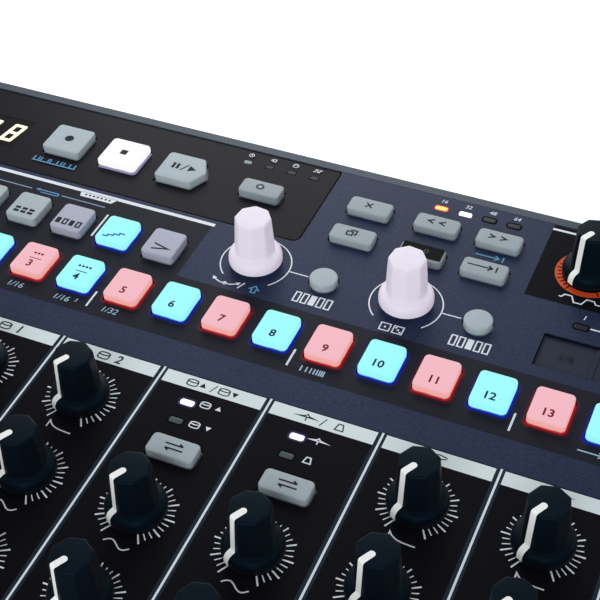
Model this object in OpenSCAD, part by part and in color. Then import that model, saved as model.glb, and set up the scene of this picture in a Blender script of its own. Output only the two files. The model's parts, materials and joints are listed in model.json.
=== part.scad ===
// Desktop analogue drum machine.
// A folded top panel on a moulded lower case, with silicone keys, rubber pads and knobs on rotary shafts.
// Row frame: +X along the width, +Y towards the sockets, +Z up, origin on the table under the middle.
// Panel frame, inside on_panel(): x = 0 a little more than a key pitch left of step key 1, y = 0 just in front
// of the step keys' middle, z = 0 on the panel's top face, which slopes down towards the player. What stands
// behind y = 0 keeps its distance from the back edge, and what stands in front of it from the front edge.

/* [Case] */
// Width of the case
case_w = 336; // [330:1:360]
// Depth of the case
case_d = 242; // [238:1:260]
// Height of the panel above the table at mid-depth
panel_mid_h = 34.8; // [33:0.2:44]
// Slope of the panel, in degrees
tilt = 3.4; // [2:0.1:5]
// Wall and floor thickness of the lower case
wall = 2.5; // [2:0.1:3]
// Depth of the grooves moulded along the case's side walls
side_groove = 0.8; // [0.4:0.1:1.2]

/* [Panel] */
// Thickness of the folded sheet
panel_t = 1.6; // [1.2:0.1:2]
// Width of the bevel along the back and front folds
bevel_w = 1.3; // [0.8:0.1:1.5]
// Height of the folded flanges
flange_h = 9; // [6:0.5:12]
// Clearance between a moving piece and what it passes or rests near
gap = 0.3; // [0.25:0.05:0.5]
// Clearance between a key or pad and its hole
key_clear = 0.5; // [0.4:0.05:0.7]
// Clearance round a fixed piece let into another one
inlay_gap = 0.1; // [0.05:0.05:0.2]

/* [Columns] */
// Distance of the outer columns from the case's sides
side_margin = 3.75; // [3:0.05:8]
// Distance between two knob rows
knob_row_pitch = 31.5; // [27:0.5:31.5]
// Distance of the lowest knob row behind the pads
pad_to_knob = 15; // [14.8:0.1:18]

/* [Keys] */
// Distance of the first step key's place from the edge of the first instrument column
step_margin_left = 0.95; // [0:0.05:4]
// Distance of the last step key's place from the edge of the last instrument column
step_margin_right = 3.05; // [0:0.05:4]
// Width of a step key
step_w = 12; // [10:0.1:12.5]
// Depth of a step key
step_d = 13.9; // [12:0.1:14.5]
// Height of a step or mode key above the panel
key_h = 3.1; // [2:0.1:4]
// Height of a transport, small or round key above the panel
small_key_h = 2.6; // [2:0.1:3.5]
// Width of a small key
small_key_w = 15.6; // [12:0.1:16]
// Depth of a small key
small_key_d = 7.6; // [6:0.1:8.5]
// Width of the record and stop keys
transport_w = 15.4; // [13:0.1:16]
// Depth of a transport key
transport_d = 14.5; // [13:0.1:15.5]
// Length of the play key from its flat side to its point
play_w = 17.9; // [15.5:0.1:18.5]
// Width of a mode key
mode_w = 12; // [10:0.1:12.5]
// Depth of a mode key
mode_d = 13; // [11:0.1:14]
// Diameter of a round track key
track_key_dia = 9.5; // [7:0.1:10]
// Corner radius of the keys
key_r = 1.8; // [1:0.1:2.4]
// Travel of a key
key_travel = 1.2; // [0.8:0.1:1.4]
// Thickness of the silicone web under the keys
web_t = 1.2; // [1:0.1:1.4]
// Overhang of the web round a key
web_rim = 1.2; // [1:0.1:1.4]

/* [Pads] */
// Distance of the outer pads' places from the case's sides
pad_side_margin = 3.5; // [3:0.1:6]
// Distance of the pads from the case's front edge
pad_front_margin = 6; // [6:0.1:9]
// Space between two pads
pad_space = 4.9; // [4:0.1:7]
// Depth of a pad
pad_d = 22; // [20:0.5:24]
// Height of a pad above the panel
pad_h = 3.4; // [2.5:0.1:4.5]
// Travel of a pad
pad_travel = 0.8; // [0.5:0.1:1.2]
// Corner radius of a pad
pad_r = 3; // [2:0.5:4]

/* [Knobs] */
// Height of a knob's top above the panel
knob_h = 19.2; // [17:0.2:20]
// Diameter of the knob's skirt
knob_skirt_dia = 18.2; // [17:0.1:19]
// Diameter across the corners of the eight-sided grip at its foot
knob_foot_dia = 13.8; // [13.4:0.1:14.4]
// Diameter across the corners of the eight-sided grip at its top
knob_top_dia = 12.6; // [11.6:0.1:13]
// Diameter of the rotary shaft
shaft_dia = 6; // [5:0.1:6.2]
// Clearance between the shaft and what it turns in or is pressed in, on the radius
shaft_fit = 0.05; // [0.03:0.01:0.08]
// Diameter of the threaded bushing
bushing_dia = 8.4; // [8:0.1:8.8]
// Width across the corners of the bushing's nut
nut_dia = 11.6; // [11:0.1:11.8]

/* [Board] */
// Depth of the circuit board's top face under the panel's top face
board_depth = 8; // [7.6:0.1:9]
// Thickness of the circuit board
board_t = 1.6; // [1:0.1:2]

/* [Rear sockets] */
// Bore of a 6.35 mm jack socket
big_jack_bore = 6.45; // [6.4:0.01:6.6]
// Bore of a 3.5 mm jack socket
small_jack_bore = 3.6; // [3.55:0.01:3.8]
// Height of the sockets' axis above the table
socket_h = 18.5; // [18:0.1:19.5]
// Depth of the recess that the sockets sit in
rear_recess = 2.2; // [1.6:0.1:3]

/* [Feet and screws] */
// Height of the rubber feet
foot_h = 3; // [2:0.5:4]
// Diameter of a rubber foot
foot_dia = 16; // [12:1:20]
// Distance of a foot's middle from the case's outer faces
foot_inset = 22; // [20:1:26]
// Diameter of a case screw's shank
screw_dia = 3; // [2.5:0.1:3.2]

/* [Hidden] */
$fn = 48;
HULL_FN = 20;

// Panel outline in the panel frame
panel_len = case_d / cos(tilt);
panel_x_mid = 136.3;
panel_back_y = 93.2;
panel_y_mid = panel_back_y - panel_len / 2;
panel_front_y = panel_back_y - panel_len;
panel_left_x = panel_x_mid - case_w / 2;
panel_right_x = panel_x_mid + case_w / 2;
bevel_drop = 1;
plate_margin = 4.1;

// Columns: the first one holds the tempo controls, the others one instrument each
columns = 9;
column_shift = 0.1;
column_w = (case_w - 2 * side_margin) / columns;
column_1_x = panel_left_x + side_margin + column_shift;
function column_x(n) = column_1_x + (n + 0.5) * column_w;

// Colours
panel_blue = "#3f4558";
case_black = "#1d1e22";
plate_black = "#26252a";
key_grey = "#b3c0c0";
lit_cyan = "#9ffcff";
lit_pink = "#f7b3bf";
knob_dark = "#14232c";
knob_white = "#ecebf0";
steel = "#b8bcc0";

// Front of the panel: pads and knob rows
pads = 10;
pad_pitch = (case_w - 2 * pad_side_margin) / pads;
pad_w = pad_pitch - pad_space;
pad_y = panel_front_y + pad_front_margin + pad_d / 2;
pads_at = [for (n = [0:pads - 1]) [panel_x_mid + (n - (pads - 1) / 2) * pad_pitch, pad_y]];
knob_row = [for (row = [2:-1:0]) pad_y + pad_d / 2 + pad_to_knob + row * knob_row_pitch];

// Keys: [x, y, width, depth] in the panel frame, by column where they share the columns' grid
step_y = 4.2;
steps = 16;
step_pitch = ((columns - 1) * column_w - step_margin_left - step_margin_right) / steps;
function step_x(n) = column_1_x + column_w + step_margin_left + (n - 0.5) * step_pitch;
step_keys = [for (n = [1:steps]) [step_x(n), step_y, step_w, step_d]];
transport_y = 66.8;
record_pos = [column_x(1.123), transport_y, transport_w, transport_d];
stop_pos = [column_x(1.767), transport_y, transport_w, transport_d];
play_pos = [column_x(2.448), transport_y, play_w, transport_d];
play_point = 3.5;
mode_y = 27.2;
mode_shift = 1.6;
mode_keys_at = [for (n = [1:5]) [step_x(n) + mode_shift, mode_y, mode_w, mode_d]];
sync_at = [column_x(3.296), 66.6];
edit_keys_at = [for (p = [[column_x(4.389), 71.2], [column_x(4.382), 55.4], [column_x(5.065), 71.2],
    [column_x(5.676), 71.2], [column_x(5.065), 55.4], [column_x(5.669), 55.4], sync_at])
        [p[0], p[1], small_key_w, small_key_d]];
encoder_y = 32.4;
track_keys_at = [[column_x(4.356), encoder_y - 0.7], [column_x(5.822), encoder_y - 0.7]];
two_sound_tracks = [4, 5];
type_keys_at = [for (n = two_sound_tracks) [column_x(n), knob_row[0] - 8.9, small_key_w, small_key_d]];
tempo_key_w = 13;
tempo_key_shift = 8.6;
tempo_key_pitch = 18;
tempo_keys_at = [for (row = [0:2], side = [-1, 1])
    [column_x(0) + side * tempo_key_shift, knob_row[0] + 7.2 - row * tempo_key_pitch, tempo_key_w, small_key_d]];
rect_keys = concat(step_keys, mode_keys_at, edit_keys_at, type_keys_at, tempo_keys_at,
    [record_pos, stop_pos, play_pos]);

// Knobs: [x, y] in the panel frame
tempo_at = [column_x(0), encoder_y];
swing_at = [column_x(3.668), encoder_y];
random_at = [column_x(5.145), encoder_y];
distortion_at = [column_x(6.556), 67.7];
volume_at = [column_x(7.797), 67.1];
track_knobs = [for (n = [1:columns - 1], row = [0:2])
    if (row > 0 || (n != two_sound_tracks[0] && n != two_sound_tracks[1])) [column_x(n), knob_row[row]]];
knobs_at = concat([tempo_at, swing_at, random_at, distortion_at, volume_at], track_knobs);

// Display plate and touch strip: [x0, y0, x1, y1]
plate_side_margin = 3.6;
plate_box = [panel_left_x + plate_side_margin, 47.4, sync_at[0] + 22.3, panel_back_y - plate_margin];
plate_r = 2.6;
plate_sink = 0.35;
plate_rim = 2;
plate_rim_back = panel_back_y - panel_t - wall - 1;
strip_side_margin = 8.3;
strip_box = [column_x(6.389), 21.3, panel_right_x - strip_side_margin, 36.3];
strip_sink = 0.6;
strip_cells = 4;

// Windows: [x, y, width, depth] in the panel frame
led_w = 4.6;
led_d = 2.3;
led_pitch = 8.8;
length_led_pitch = 15.6;
top_leds = [for (n = [-1.5:1.5]) [column_x(5.37) + n * led_pitch, 82, led_w, led_d]];
plate_leds = [for (n = [-1.5:1.5]) [sync_at[0] + 0.9 + n * led_pitch, 81.5, 3.2, 1.8]];
sound_leds = [for (n = two_sound_tracks, y = [10.2, 2.5]) [column_x(n) - 5.1, knob_row[0] + y, led_w, led_d]];
length_leds = [for (n = [0:3]) [strip_box[0] + 10.4 + n * length_led_pitch, strip_box[3] + 6.4, led_w, led_d]];
display_at = [plate_box[0] + 22.8, 65.5, 34, 16.5];
panel_windows = concat(top_leds, sound_leds, length_leds);

// Levels in the panel frame
web_top = -panel_t - gap;
web_bottom = web_top - web_t;
nub_h = 0.3;
switch_top = web_bottom - nub_h - key_travel - gap;
board_top = -board_depth;
board_bottom = board_top - board_t;
pad_foot = board_top + gap + pad_travel + 0.6;
skirt_foot = 0.8;
encoder_lift = 0.9;
pointer_angle = -120;
nut_h = 2;
shaft_end = board_top + 0.8;

// Towers that take the case screws, in the row frame: between the pads and the knobs, where the middle one
// stands between two columns, and at the back
tower_side = case_w / 2 - 9;
tower_dia = 9;
tower_front = (pad_y + pad_d / 2 + 6.4 - panel_y_mid) * cos(tilt);
tower_mid = case_d / 2 - 53;
tower_back = case_d / 2 - 27;
towers_at = concat([for (x = [-tower_side, column_shift + column_w / 2, tower_side]) [x, tower_front]],
    [[-tower_side, tower_mid], [0, tower_mid], [tower_side, tower_back]]);
screw_head_dia = 2 * screw_dia;
screw_head_h = 2;

// Rear wall: the recess follows the case, and the sockets stand in it from the player's right to the left
recess_margin = 18;
recess_w = case_w - 2 * recess_margin;
socket_pitch = recess_w / 18.75;
function socket_x(n) = recess_w / 2 - 22 - n * socket_pitch;
phones_x = socket_x(0);
mix_x = socket_x(1.75);
outs_x = [for (n = [0:3]) socket_x(3.375 + n)];
clock_x = [socket_x(7.5), socket_x(8.5)];
midi_x = [socket_x(10), socket_x(11.5)];
usb_x = socket_x(13.125);
power_x = socket_x(14.75);
dc_x = socket_x(16.125);
small_jacks_x = concat(outs_x, clock_x);
big_jacks_x = [phones_x, mix_x];
midi_dia = 15;
dc_dia = 11;
big_collar_dia = 11;
big_jack_body = [15, 13, 22];
small_collar_dia = 7.6;
small_jack_body = [9, 10, 14];
usb_size = [12, 11];
rocker_frame = [13.6, 20];
rocker_size = [9, 14.4];
rocker_axis_in = 3.6;
rocker_tip = 7;
recess_half_h = 11.4;
rear_face = case_d / 2 - rear_recess;
collar_out = 0.8;

module on_panel() {
    translate([-panel_x_mid, 0, panel_mid_h]) rotate([tilt, 0, 0]) translate([0, -panel_y_mid, 0]) children();
}

// A point of the panel frame's side view, in the row frame
function side_point(y, z) = [(y - panel_y_mid) * cos(tilt) - z * sin(tilt),
    panel_mid_h + (y - panel_y_mid) * sin(tilt) + z * cos(tilt)];

// Height in the row frame of what lies a given depth under the panel's top face, at a given y
function under_z(y, depth) = panel_mid_h + y * tan(tilt) - depth / cos(tilt);

// Extrudes a side view (y, z) along the width
module along_width(w) {
    translate([-w / 2, 0, 0]) rotate([90, 0, 90]) linear_extrude(w) children();
}

module rounded_square(w, d, r) {
    square([w - 2 * r, d], center = true);
    square([w, d - 2 * r], center = true);
    for (sx = [-1, 1], sy = [-1, 1]) translate([sx * (w / 2 - r), sy * (d / 2 - r)]) circle(r);
}

module rounded_block(w, d, r, z0, z1) {
    translate([0, 0, z0]) linear_extrude(z1 - z0) rounded_square(w, d, r);
}

// A key's or pad's soft cap: three layers, each one smaller, with their corners rounded
module cap(w, d, h, r, soft) {
    hull() {
        translate([0, 0, web_top - 0.2]) linear_extrude(h - soft - web_top + 0.2)
            rounded_square(w, d, r, $fn = HULL_FN);
        translate([0, 0, web_top]) linear_extrude(h - 0.3 * soft - web_top)
            rounded_square(w - 0.6 * soft, d - 0.6 * soft, r, $fn = HULL_FN);
        translate([0, 0, web_top]) linear_extrude(h - web_top)
            rounded_square(w - 2 * soft, d - 2 * soft, r - 0.4, $fn = HULL_FN);
    }
}

// The web that keeps a key under the panel, with the nub that presses its switch
module key_foot(w, d) {
    translate([-w / 2 - web_rim, -d / 2 - web_rim, web_bottom])
        cube([w + 2 * web_rim, d + 2 * web_rim, web_t]);
    translate([0, 0, web_bottom - nub_h]) cylinder(h = nub_h + web_t / 2, d = 4);
}

module rect_key(key, h) {
    translate([key[0], key[1], 0]) {
        cap(key[2], key[3], h, key_r, 0.7);
        key_foot(key[2], key[3]);
    }
}

// Row of keys on one strip of web
module key_strip(keys, h) {
    for (key = keys) rect_key(key, h);
    first = keys[0];
    last = keys[len(keys) - 1];
    translate([first[0], first[1] - 3, web_bottom]) cube([last[0] - first[0], 6, web_t]);
}

module play_outline(w, d, point) {
    polygon([[-w / 2, -d / 2], [w / 2 - point, -d / 2], [w / 2, 0], [w / 2 - point, d / 2], [-w / 2, d / 2]]);
}

module knob_shape(dia_top, turn) {
    skirt_r = knob_skirt_dia / 2;
    foot_r = knob_foot_dia / 2;
    shoulder_z = 4.8;
    rotate_extrude() polygon([[0, skirt_foot], [skirt_r - 0.4, skirt_foot], [skirt_r, skirt_foot + 0.4],
        [skirt_r, skirt_foot + 2], [skirt_r - 0.6, skirt_foot + 3], [foot_r + 0.7, shoulder_z],
        [foot_r - 0.3, shoulder_z + 0.7], [0, shoulder_z + 0.7]]);
    top_r = dia_top / 2;
    edge = 0.5;
    rotate([0, 0, turn]) {
        translate([0, 0, shoulder_z]) cylinder(h = knob_h - edge - shoulder_z, r1 = foot_r, r2 = top_r, $fn = 8);
        translate([0, 0, knob_h - edge]) cylinder(h = edge, r1 = top_r, r2 = top_r - edge, $fn = 8);
    }
}

// Knob with its hollow foot, shaft bore and the shaft pressed into it
module knob(at, turn, lift = 0) {
    bore_top = knob_h - 4;
    translate([at[0], at[1], lift]) {
        difference() {
            knob_shape(knob_top_dia, turn);
            translate([0, 0, skirt_foot - 1]) cylinder(h = nut_h + gap - skirt_foot + 1, d = nut_dia + 2 * gap);
            cylinder(h = bore_top, d = shaft_dia + 2 * shaft_fit);
        }
        translate([0, 0, shaft_end - lift]) cylinder(h = bore_top - 0.2 - shaft_end + lift, d = shaft_dia);
    }
}

// A dark knob has a flat where its pointer runs; a white one has a corner there and stands higher
module dark_knob(at) { color(knob_dark) on_panel() knob(at, pointer_angle + 22.5); }

module white_knob(at) { color(knob_white) on_panel() knob(at, pointer_angle, encoder_lift); }

module track_knob(n, row) { dark_knob([column_x(n), knob_row[row]]); }

module pad(n) {
    color("#8f9296") on_panel() translate([pads_at[n - 1][0], pads_at[n - 1][1], 0]) {
        cap(pad_w, pad_d, pad_h, pad_r, 1.2);
        rounded_block(pad_w + 2 * web_rim, pad_d + 2 * web_rim, pad_r, web_bottom, web_top);
        rounded_block(pad_w - 6, pad_d - 6, pad_r, pad_foot, web_bottom + 0.1);
    }
}

module key_hole(key) {
    translate([key[0], key[1], 0])
        rounded_block(key[2] + 2 * key_clear, key[3] + 2 * key_clear, key_r, -board_depth + 1, 1);
}

module play_hole() {
    translate([play_pos[0], play_pos[1], -board_depth + 1]) linear_extrude(board_depth)
        play_outline(play_w + 2 * key_clear, transport_d + 2 * key_clear, play_point + 0.1);
}

module window_hole(w, clearance, z0) {
    translate([w[0] - w[2] / 2 - clearance, w[1] - w[3] / 2 - clearance, z0])
        cube([w[2] + 2 * clearance, w[3] + 2 * clearance, 1 - z0]);
}

module box_block(b, grow, r, z0, z1) {
    translate([(b[0] + b[2]) / 2, (b[1] + b[3]) / 2, 0])
        rounded_block(b[2] - b[0] + 2 * grow, b[3] - b[1] + 2 * grow, r, z0, z1);
}

module keep_between(z0, z1) {
    on_panel() translate([panel_x_mid - case_w, panel_y_mid - case_d, z0]) cube([2 * case_w, 2 * case_d, z1 - z0]);
}

module top_panel() {
    front = side_point(panel_y_mid - panel_len / 2, -bevel_drop);
    back = side_point(panel_back_y, -bevel_drop);
    front_top = side_point(panel_y_mid - panel_len / 2 + bevel_w, 0);
    back_top = side_point(panel_back_y - bevel_w, 0);
    inner = back[0] - panel_t;
    color(panel_blue) {
        difference() {
            along_width(case_w) polygon([[front[0], front[1] - flange_h], front, front_top, back_top, back,
                [back[0], back[1] - flange_h], [inner, back[1] - flange_h], [inner, under_z(inner, panel_t)],
                [-inner, under_z(-inner, panel_t)], [-inner, front[1] - flange_h]]);
            on_panel() {
                for (key = step_keys) key_hole(key);
                for (key = mode_keys_at) key_hole(key);
                for (n = [0:5]) key_hole(edit_keys_at[n]);
                for (key = type_keys_at) key_hole(key);
                for (key = tempo_keys_at) key_hole(key);
                for (at = track_keys_at) translate([at[0], at[1], -panel_t - 1])
                    cylinder(h = panel_t + 2, d = track_key_dia + 2 * key_clear);
                for (at = pads_at) translate([at[0], at[1], 0])
                    rounded_block(pad_w + 2 * key_clear, pad_d + 2 * key_clear, pad_r, -panel_t - 1, 1);
                for (at = knobs_at) translate([at[0], at[1], -panel_t - 1])
                    cylinder(h = panel_t + 2, d = bushing_dia + 2 * inlay_gap);
                for (w = panel_windows) window_hole(w, inlay_gap, -panel_t - 1);
                box_block(plate_box, 0, plate_r, -panel_t - 1, 1);
                box_block(strip_box, 0, 0.8, -panel_t - 1, 1);
            }
        }
        for (at = towers_at) intersection() {
            difference() {
                translate([at[0], at[1], foot_h + wall]) cylinder(h = 60, d = tower_dia - 1);
                translate([at[0], at[1], foot_h]) cylinder(h = 60, d = screw_dia - 0.4);
            }
            keep_between(board_top, -panel_t + inlay_gap);
        }
    }
}

module display_plate() {
    color(plate_black) on_panel() difference() {
        union() {
            box_block(plate_box, -inlay_gap, plate_r, -panel_t, -plate_sink);
            translate([plate_box[0] - 0.5, plate_box[1] - plate_rim, -2 * panel_t])
                cube([plate_box[2] - plate_box[0] + plate_rim, plate_rim_back - plate_box[1], panel_t]);
        }
        for (key = [record_pos, stop_pos, edit_keys_at[6]]) translate([key[0], key[1], 0]) {
            rounded_block(key[2] + 2 * key_clear, key[3] + 2 * key_clear, key_r, -board_depth, 1);
            translate([-key[2] / 2 - web_rim - gap, -key[3] / 2 - web_rim - gap, -board_depth])
                cube([key[2] + 2 * (web_rim + gap), key[3] + 2 * (web_rim + gap), board_depth - panel_t]);
        }
        play_hole();
        translate([play_pos[0] - play_w / 2 - web_rim - gap, transport_y - transport_d / 2 - web_rim - gap,
            -board_depth])
            cube([play_w + 2 * (web_rim + gap), transport_d + 2 * (web_rim + gap), board_depth - panel_t]);
        for (w = plate_leds) window_hole(w, inlay_gap, -2 * panel_t - 1);
        window_hole(display_at, inlay_gap, -2 * panel_t - 1);
    }
}

module touch_strip() {
    cell_w = (strip_box[2] - strip_box[0]) / strip_cells;
    color(plate_black) on_panel() difference() {
        union() {
            box_block(strip_box, -inlay_gap, 0.8, -panel_t, -strip_sink);
            box_block(strip_box, 1.5, 0.8, -2 * panel_t, -panel_t);
        }
        for (n = [0:strip_cells - 1])
            translate([strip_box[0] + (n + 0.5) * cell_w, (strip_box[1] + strip_box[3]) / 2, 0])
                rounded_block(cell_w - 1.2, strip_box[3] - strip_box[1] - 1.6, 0.6, -strip_sink - 0.4, 1);
    }
}

module light_windows() {
    color("#c9cdd2") on_panel() {
        for (w = panel_windows) translate([w[0] - w[2] / 2, w[1] - w[3] / 2, -panel_t])
            cube([w[2], w[3], panel_t + 0.1]);
        for (w = plate_leds) translate([w[0] - w[2] / 2, w[1] - w[3] / 2, -2 * panel_t])
            cube([w[2], w[3], 2 * panel_t - plate_sink + 0.1]);
        translate([display_at[0] - display_at[2] / 2, display_at[1] - display_at[3] / 2, -2 * panel_t])
            cube([display_at[2], display_at[3], 2 * panel_t - plate_sink - 0.1]);
    }
}

module switch_at(x, y) {
    translate([x - 3, y - 3, board_top - 0.01]) cube([6, 6, switch_top - board_top - 0.5]);
    translate([x, y, board_top]) cylinder(h = switch_top - board_top, d = 3.4);
}

module control_board() {
    inset = wall + 3;
    color("#1f5a3c") {
        difference() {
            intersection() {
                keep_between(board_bottom, board_top);
                translate([-case_w / 2 + inset, -case_d / 2 + inset, 0])
                    cube([case_w - 2 * inset, case_d - 2 * inset - 12, 80]);
            }
            for (at = towers_at) translate([at[0], at[1], 0]) cylinder(h = 80, d = screw_dia + 0.8);
        }
        on_panel() {
            for (key = rect_keys) switch_at(key[0], key[1]);
            for (at = track_keys_at) switch_at(at[0], at[1]);
            for (at = pads_at) translate([at[0], at[1], 0])
                rounded_block(pad_w - 8, pad_d - 8, 2, board_top - 0.01, board_top + 0.6);
        }
    }
}

module potentiometers() {
    body_top = -panel_t - inlay_gap;
    color(steel) on_panel() for (at = knobs_at) translate([at[0], at[1], 0]) difference() {
        union() {
            translate([-5.5, -6, board_top]) cube([11, 12, body_top - board_top]);
            translate([0, 0, body_top - 0.1]) cylinder(h = nut_h + 0.1 - body_top, d = bushing_dia);
            cylinder(h = nut_h, d = nut_dia, $fn = 6);
        }
        translate([0, 0, shaft_end - 0.3]) cylinder(h = 40, d = shaft_dia + 2 * shaft_fit);
    }
}

module step_group(first) {
    color(first % 8 == 1 ? lit_cyan : lit_pink) on_panel()
        key_strip([for (n = [0:3]) step_keys[first - 1 + n]], key_h);
}

module record_key() { color(key_grey) on_panel() rect_key(record_pos, small_key_h); }

module stop_key() { color("#ffffff") on_panel() rect_key(stop_pos, small_key_h); }

module play_key() {
    soft = 0.7;
    color(key_grey) on_panel() translate([play_pos[0], play_pos[1], 0]) {
        hull() {
            translate([0, 0, web_top - 0.2]) linear_extrude(small_key_h - soft - web_top + 0.2)
                play_outline(play_w, transport_d, play_point);
            translate([0, 0, web_top]) linear_extrude(small_key_h - web_top)
                play_outline(play_w - 2 * soft, transport_d - 2 * soft, play_point - 0.2);
        }
        key_foot(play_w, transport_d);
    }
}

module mode_keys() { color(key_grey) on_panel() key_strip(mode_keys_at, key_h); }

module edit_keys() { color(key_grey) on_panel() for (key = edit_keys_at) rect_key(key, small_key_h); }

module track_keys() {
    r = track_key_dia / 2;
    color(key_grey) on_panel() for (at = track_keys_at) translate([at[0], at[1], 0]) {
        rotate_extrude() polygon([[0, web_bottom], [r, web_bottom], [r, small_key_h - 0.6],
            [r - 0.25, small_key_h - 0.2], [r - 0.8, small_key_h], [0, small_key_h]]);
        key_foot(track_key_dia - 1, track_key_dia - 1);
    }
}

module type_keys() { color(key_grey) on_panel() for (key = type_keys_at) rect_key(key, small_key_h); }

module tempo_keys() { color(key_grey) on_panel() for (key = tempo_keys_at) rect_key(key, small_key_h); }

// Socket hole through the rear wall
module rear_hole(x, dia) {
    translate([x, case_d / 2 - 10, socket_h]) rotate([-90, 0, 0]) cylinder(h = 20, d = dia + 2 * inlay_gap);
}

module rear_slot(x, size) {
    translate([x - size[0] / 2 - inlay_gap, case_d / 2 - 10, socket_h - size[1] / 2 - inlay_gap])
        cube([size[0] + 2 * inlay_gap, 20, size[1] + 2 * inlay_gap]);
}

// Side view of the lower case, set in from its outer faces and cut off at a depth under the panel's top face
function case_side(inset, depth) = let (
    rim = [for (y = [panel_y_mid - panel_len / 2, panel_back_y]) side_point(y, -bevel_drop)[1]],
    y = case_d / 2 - inset, y_up = y - panel_t - gap, foot = inset == 0 ? 2 : 0, z = foot_h + inset,
    ledge = flange_h + gap + inset) [
        [-y + foot, z], [y - foot, z], [y, z + foot], [y, rim[1] - ledge], [y_up, rim[1] - ledge],
        [y_up, under_z(y_up, depth)], [-y_up, under_z(-y_up, depth)],
        [-y_up, rim[0] - ledge], [-y, rim[0] - ledge], [-y, z + foot]];

module bottom_case() {
    block_y = rear_face - wall;
    color(case_black) difference() {
        union() {
            difference() {
                along_width(case_w) polygon(case_side(0, panel_t + 0.01));
                along_width(case_w - 2 * wall) polygon(case_side(wall, -4));
            }
            translate([-recess_w / 2 - wall, block_y, foot_h])
                cube([recess_w + 2 * wall, case_d / 2 - wall / 2 - block_y, socket_h + recess_half_h - foot_h]);
            for (at = towers_at) intersection() {
                translate([at[0], at[1], foot_h + 0.5]) cylinder(h = 60, d = tower_dia);
                keep_between(-60, board_bottom);
            }
        }
        translate([-recess_w / 2, rear_face, socket_h - recess_half_h])
            cube([recess_w, rear_recess + 1, 2 * recess_half_h]);
        for (at = towers_at) translate([at[0], at[1], 0]) {
            cylinder(h = 60, d = screw_dia + 0.4);
            cylinder(h = foot_h + screw_head_h + 0.5, d = screw_head_dia + 0.8);
        }
        for (x = big_jacks_x) rear_hole(x, big_collar_dia);
        for (x = small_jacks_x) rear_hole(x, small_collar_dia);
        for (x = midi_x) rear_hole(x, midi_dia);
        rear_hole(dc_x, dc_dia);
        rear_slot(usb_x, usb_size);
        rear_slot(power_x, rocker_frame);
        for (side = [-1, 1], row = [0:2]) translate([side * case_w / 2, 0, foot_h + 6 + row * 3.2])
            cube([2 * side_groove, case_d - 40, 1.2], center = true);
    }
}

module rubber_feet() {
    x = case_w / 2 - foot_inset;
    y = case_d / 2 - foot_inset;
    r = foot_dia / 2;
    color("#101113") for (at = [[-x, -y], [x, -y], [-x, y], [x, y], [0, -y], [0, y]])
        translate([at[0], at[1], 0]) rotate_extrude()
            polygon([[0, 0], [r - 0.8, 0], [r, 0.8], [r, foot_h], [0, foot_h]]);
}

module case_screws() {
    color(steel) for (at = towers_at) translate([at[0], at[1], foot_h + 0.4]) difference() {
        union() {
            cylinder(h = screw_head_h, d = screw_head_dia);
            cylinder(h = side_point(at[1] + panel_y_mid, 0)[1] - foot_h - 0.4 - board_depth + 3, d = screw_dia - 0.6);
        }
        translate([0, 0, -0.1]) cylinder(h = 1.2, d = 2.6, $fn = 6);
    }
}

// Puts a socket behind the rear face, its mouth towards the back
module at_rear(x) {
    translate([x, rear_face, socket_h]) rotate([90, 0, 0]) children();
}

// Round jack: threaded collar through the wall, body behind it, bore for the plug
module jack(x, collar_dia, body, bore) {
    at_rear(x) difference() {
        union() {
            translate([0, 0, -collar_out]) cylinder(h = wall + collar_out + 0.2, d = collar_dia);
            translate([-body[0] / 2, -body[1] / 2, wall + 0.1]) cube([body[0], body[1], body[2]]);
        }
        translate([0, 0, -collar_out]) cylinder(h = body[2] + collar_out - 2, d = bore);
    }
}

module midi_socket(x) {
    at_rear(x) difference() {
        union() {
            translate([0, 0, -collar_out / 2]) cylinder(h = wall + collar_out, d = midi_dia);
            translate([-9, -9, wall + 0.1]) cube([18, 18, 12]);
        }
        for (angle = [-90, -45, 0, 45, 90]) rotate([0, 0, angle]) translate([0, -5, -1]) cylinder(h = 9, d = 1.6);
        translate([-1.2, 5.2, -1]) cube([2.4, 1.6, 5]);
    }
}

module power_inlet() {
    at_rear(dc_x) {
        difference() {
            union() {
                translate([0, 0, -collar_out / 2]) cylinder(h = wall + collar_out, d = dc_dia);
                translate([-6, -6, wall + 0.1]) cube([12, 12, 12]);
            }
            translate([0, 0, -1]) cylinder(h = 10, d = 6.4);
        }
        translate([0, 0, 0.5]) cylinder(h = 8.6, d = 2);
    }
}

module usb_socket() {
    at_rear(usb_x) {
        difference() {
            translate([-usb_size[0] / 2, -usb_size[1] / 2, 0]) cube([usb_size[0], usb_size[1], 16]);
            translate([-4.2, -3.9, -1]) cube([8.4, 7.8, 10]);
        }
        translate([-2.8, -1.6, 1]) cube([5.6, 3.2, 8.1]);
    }
}

module rocker_housing() {
    at_rear(power_x) difference() {
        translate([-rocker_frame[0] / 2, -rocker_frame[1] / 2, -collar_out / 2])
            cube([rocker_frame[0], rocker_frame[1], 14]);
        translate([-rocker_size[0] / 2 - gap, -rocker_size[1] / 2 - 1, -1])
            cube([rocker_size[0] + 2 * gap, rocker_size[1] + 2, 9.5]);
    }
}

module rear_sockets() {
    color("#2b2c30") {
        for (x = big_jacks_x) jack(x, big_collar_dia, big_jack_body, big_jack_bore);
        for (x = small_jacks_x) jack(x, small_collar_dia, small_jack_body, small_jack_bore);
        for (x = midi_x) midi_socket(x);
        power_inlet();
        usb_socket();
        rocker_housing();
    }
}

// Rocker switch, tipped to its off side at rest
module power_switch() {
    half = rocker_size[1] / 2;
    color("#151517") translate([power_x, rear_face - rocker_axis_in, socket_h]) rotate([rocker_tip, 0, 0])
        along_width(rocker_size[0]) polygon([[-2.5, -3], [2.2, -half], [4.4, -half], [3.2, 0], [4.4, half],
            [2.2, half], [-2.5, 3]]);
}

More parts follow.
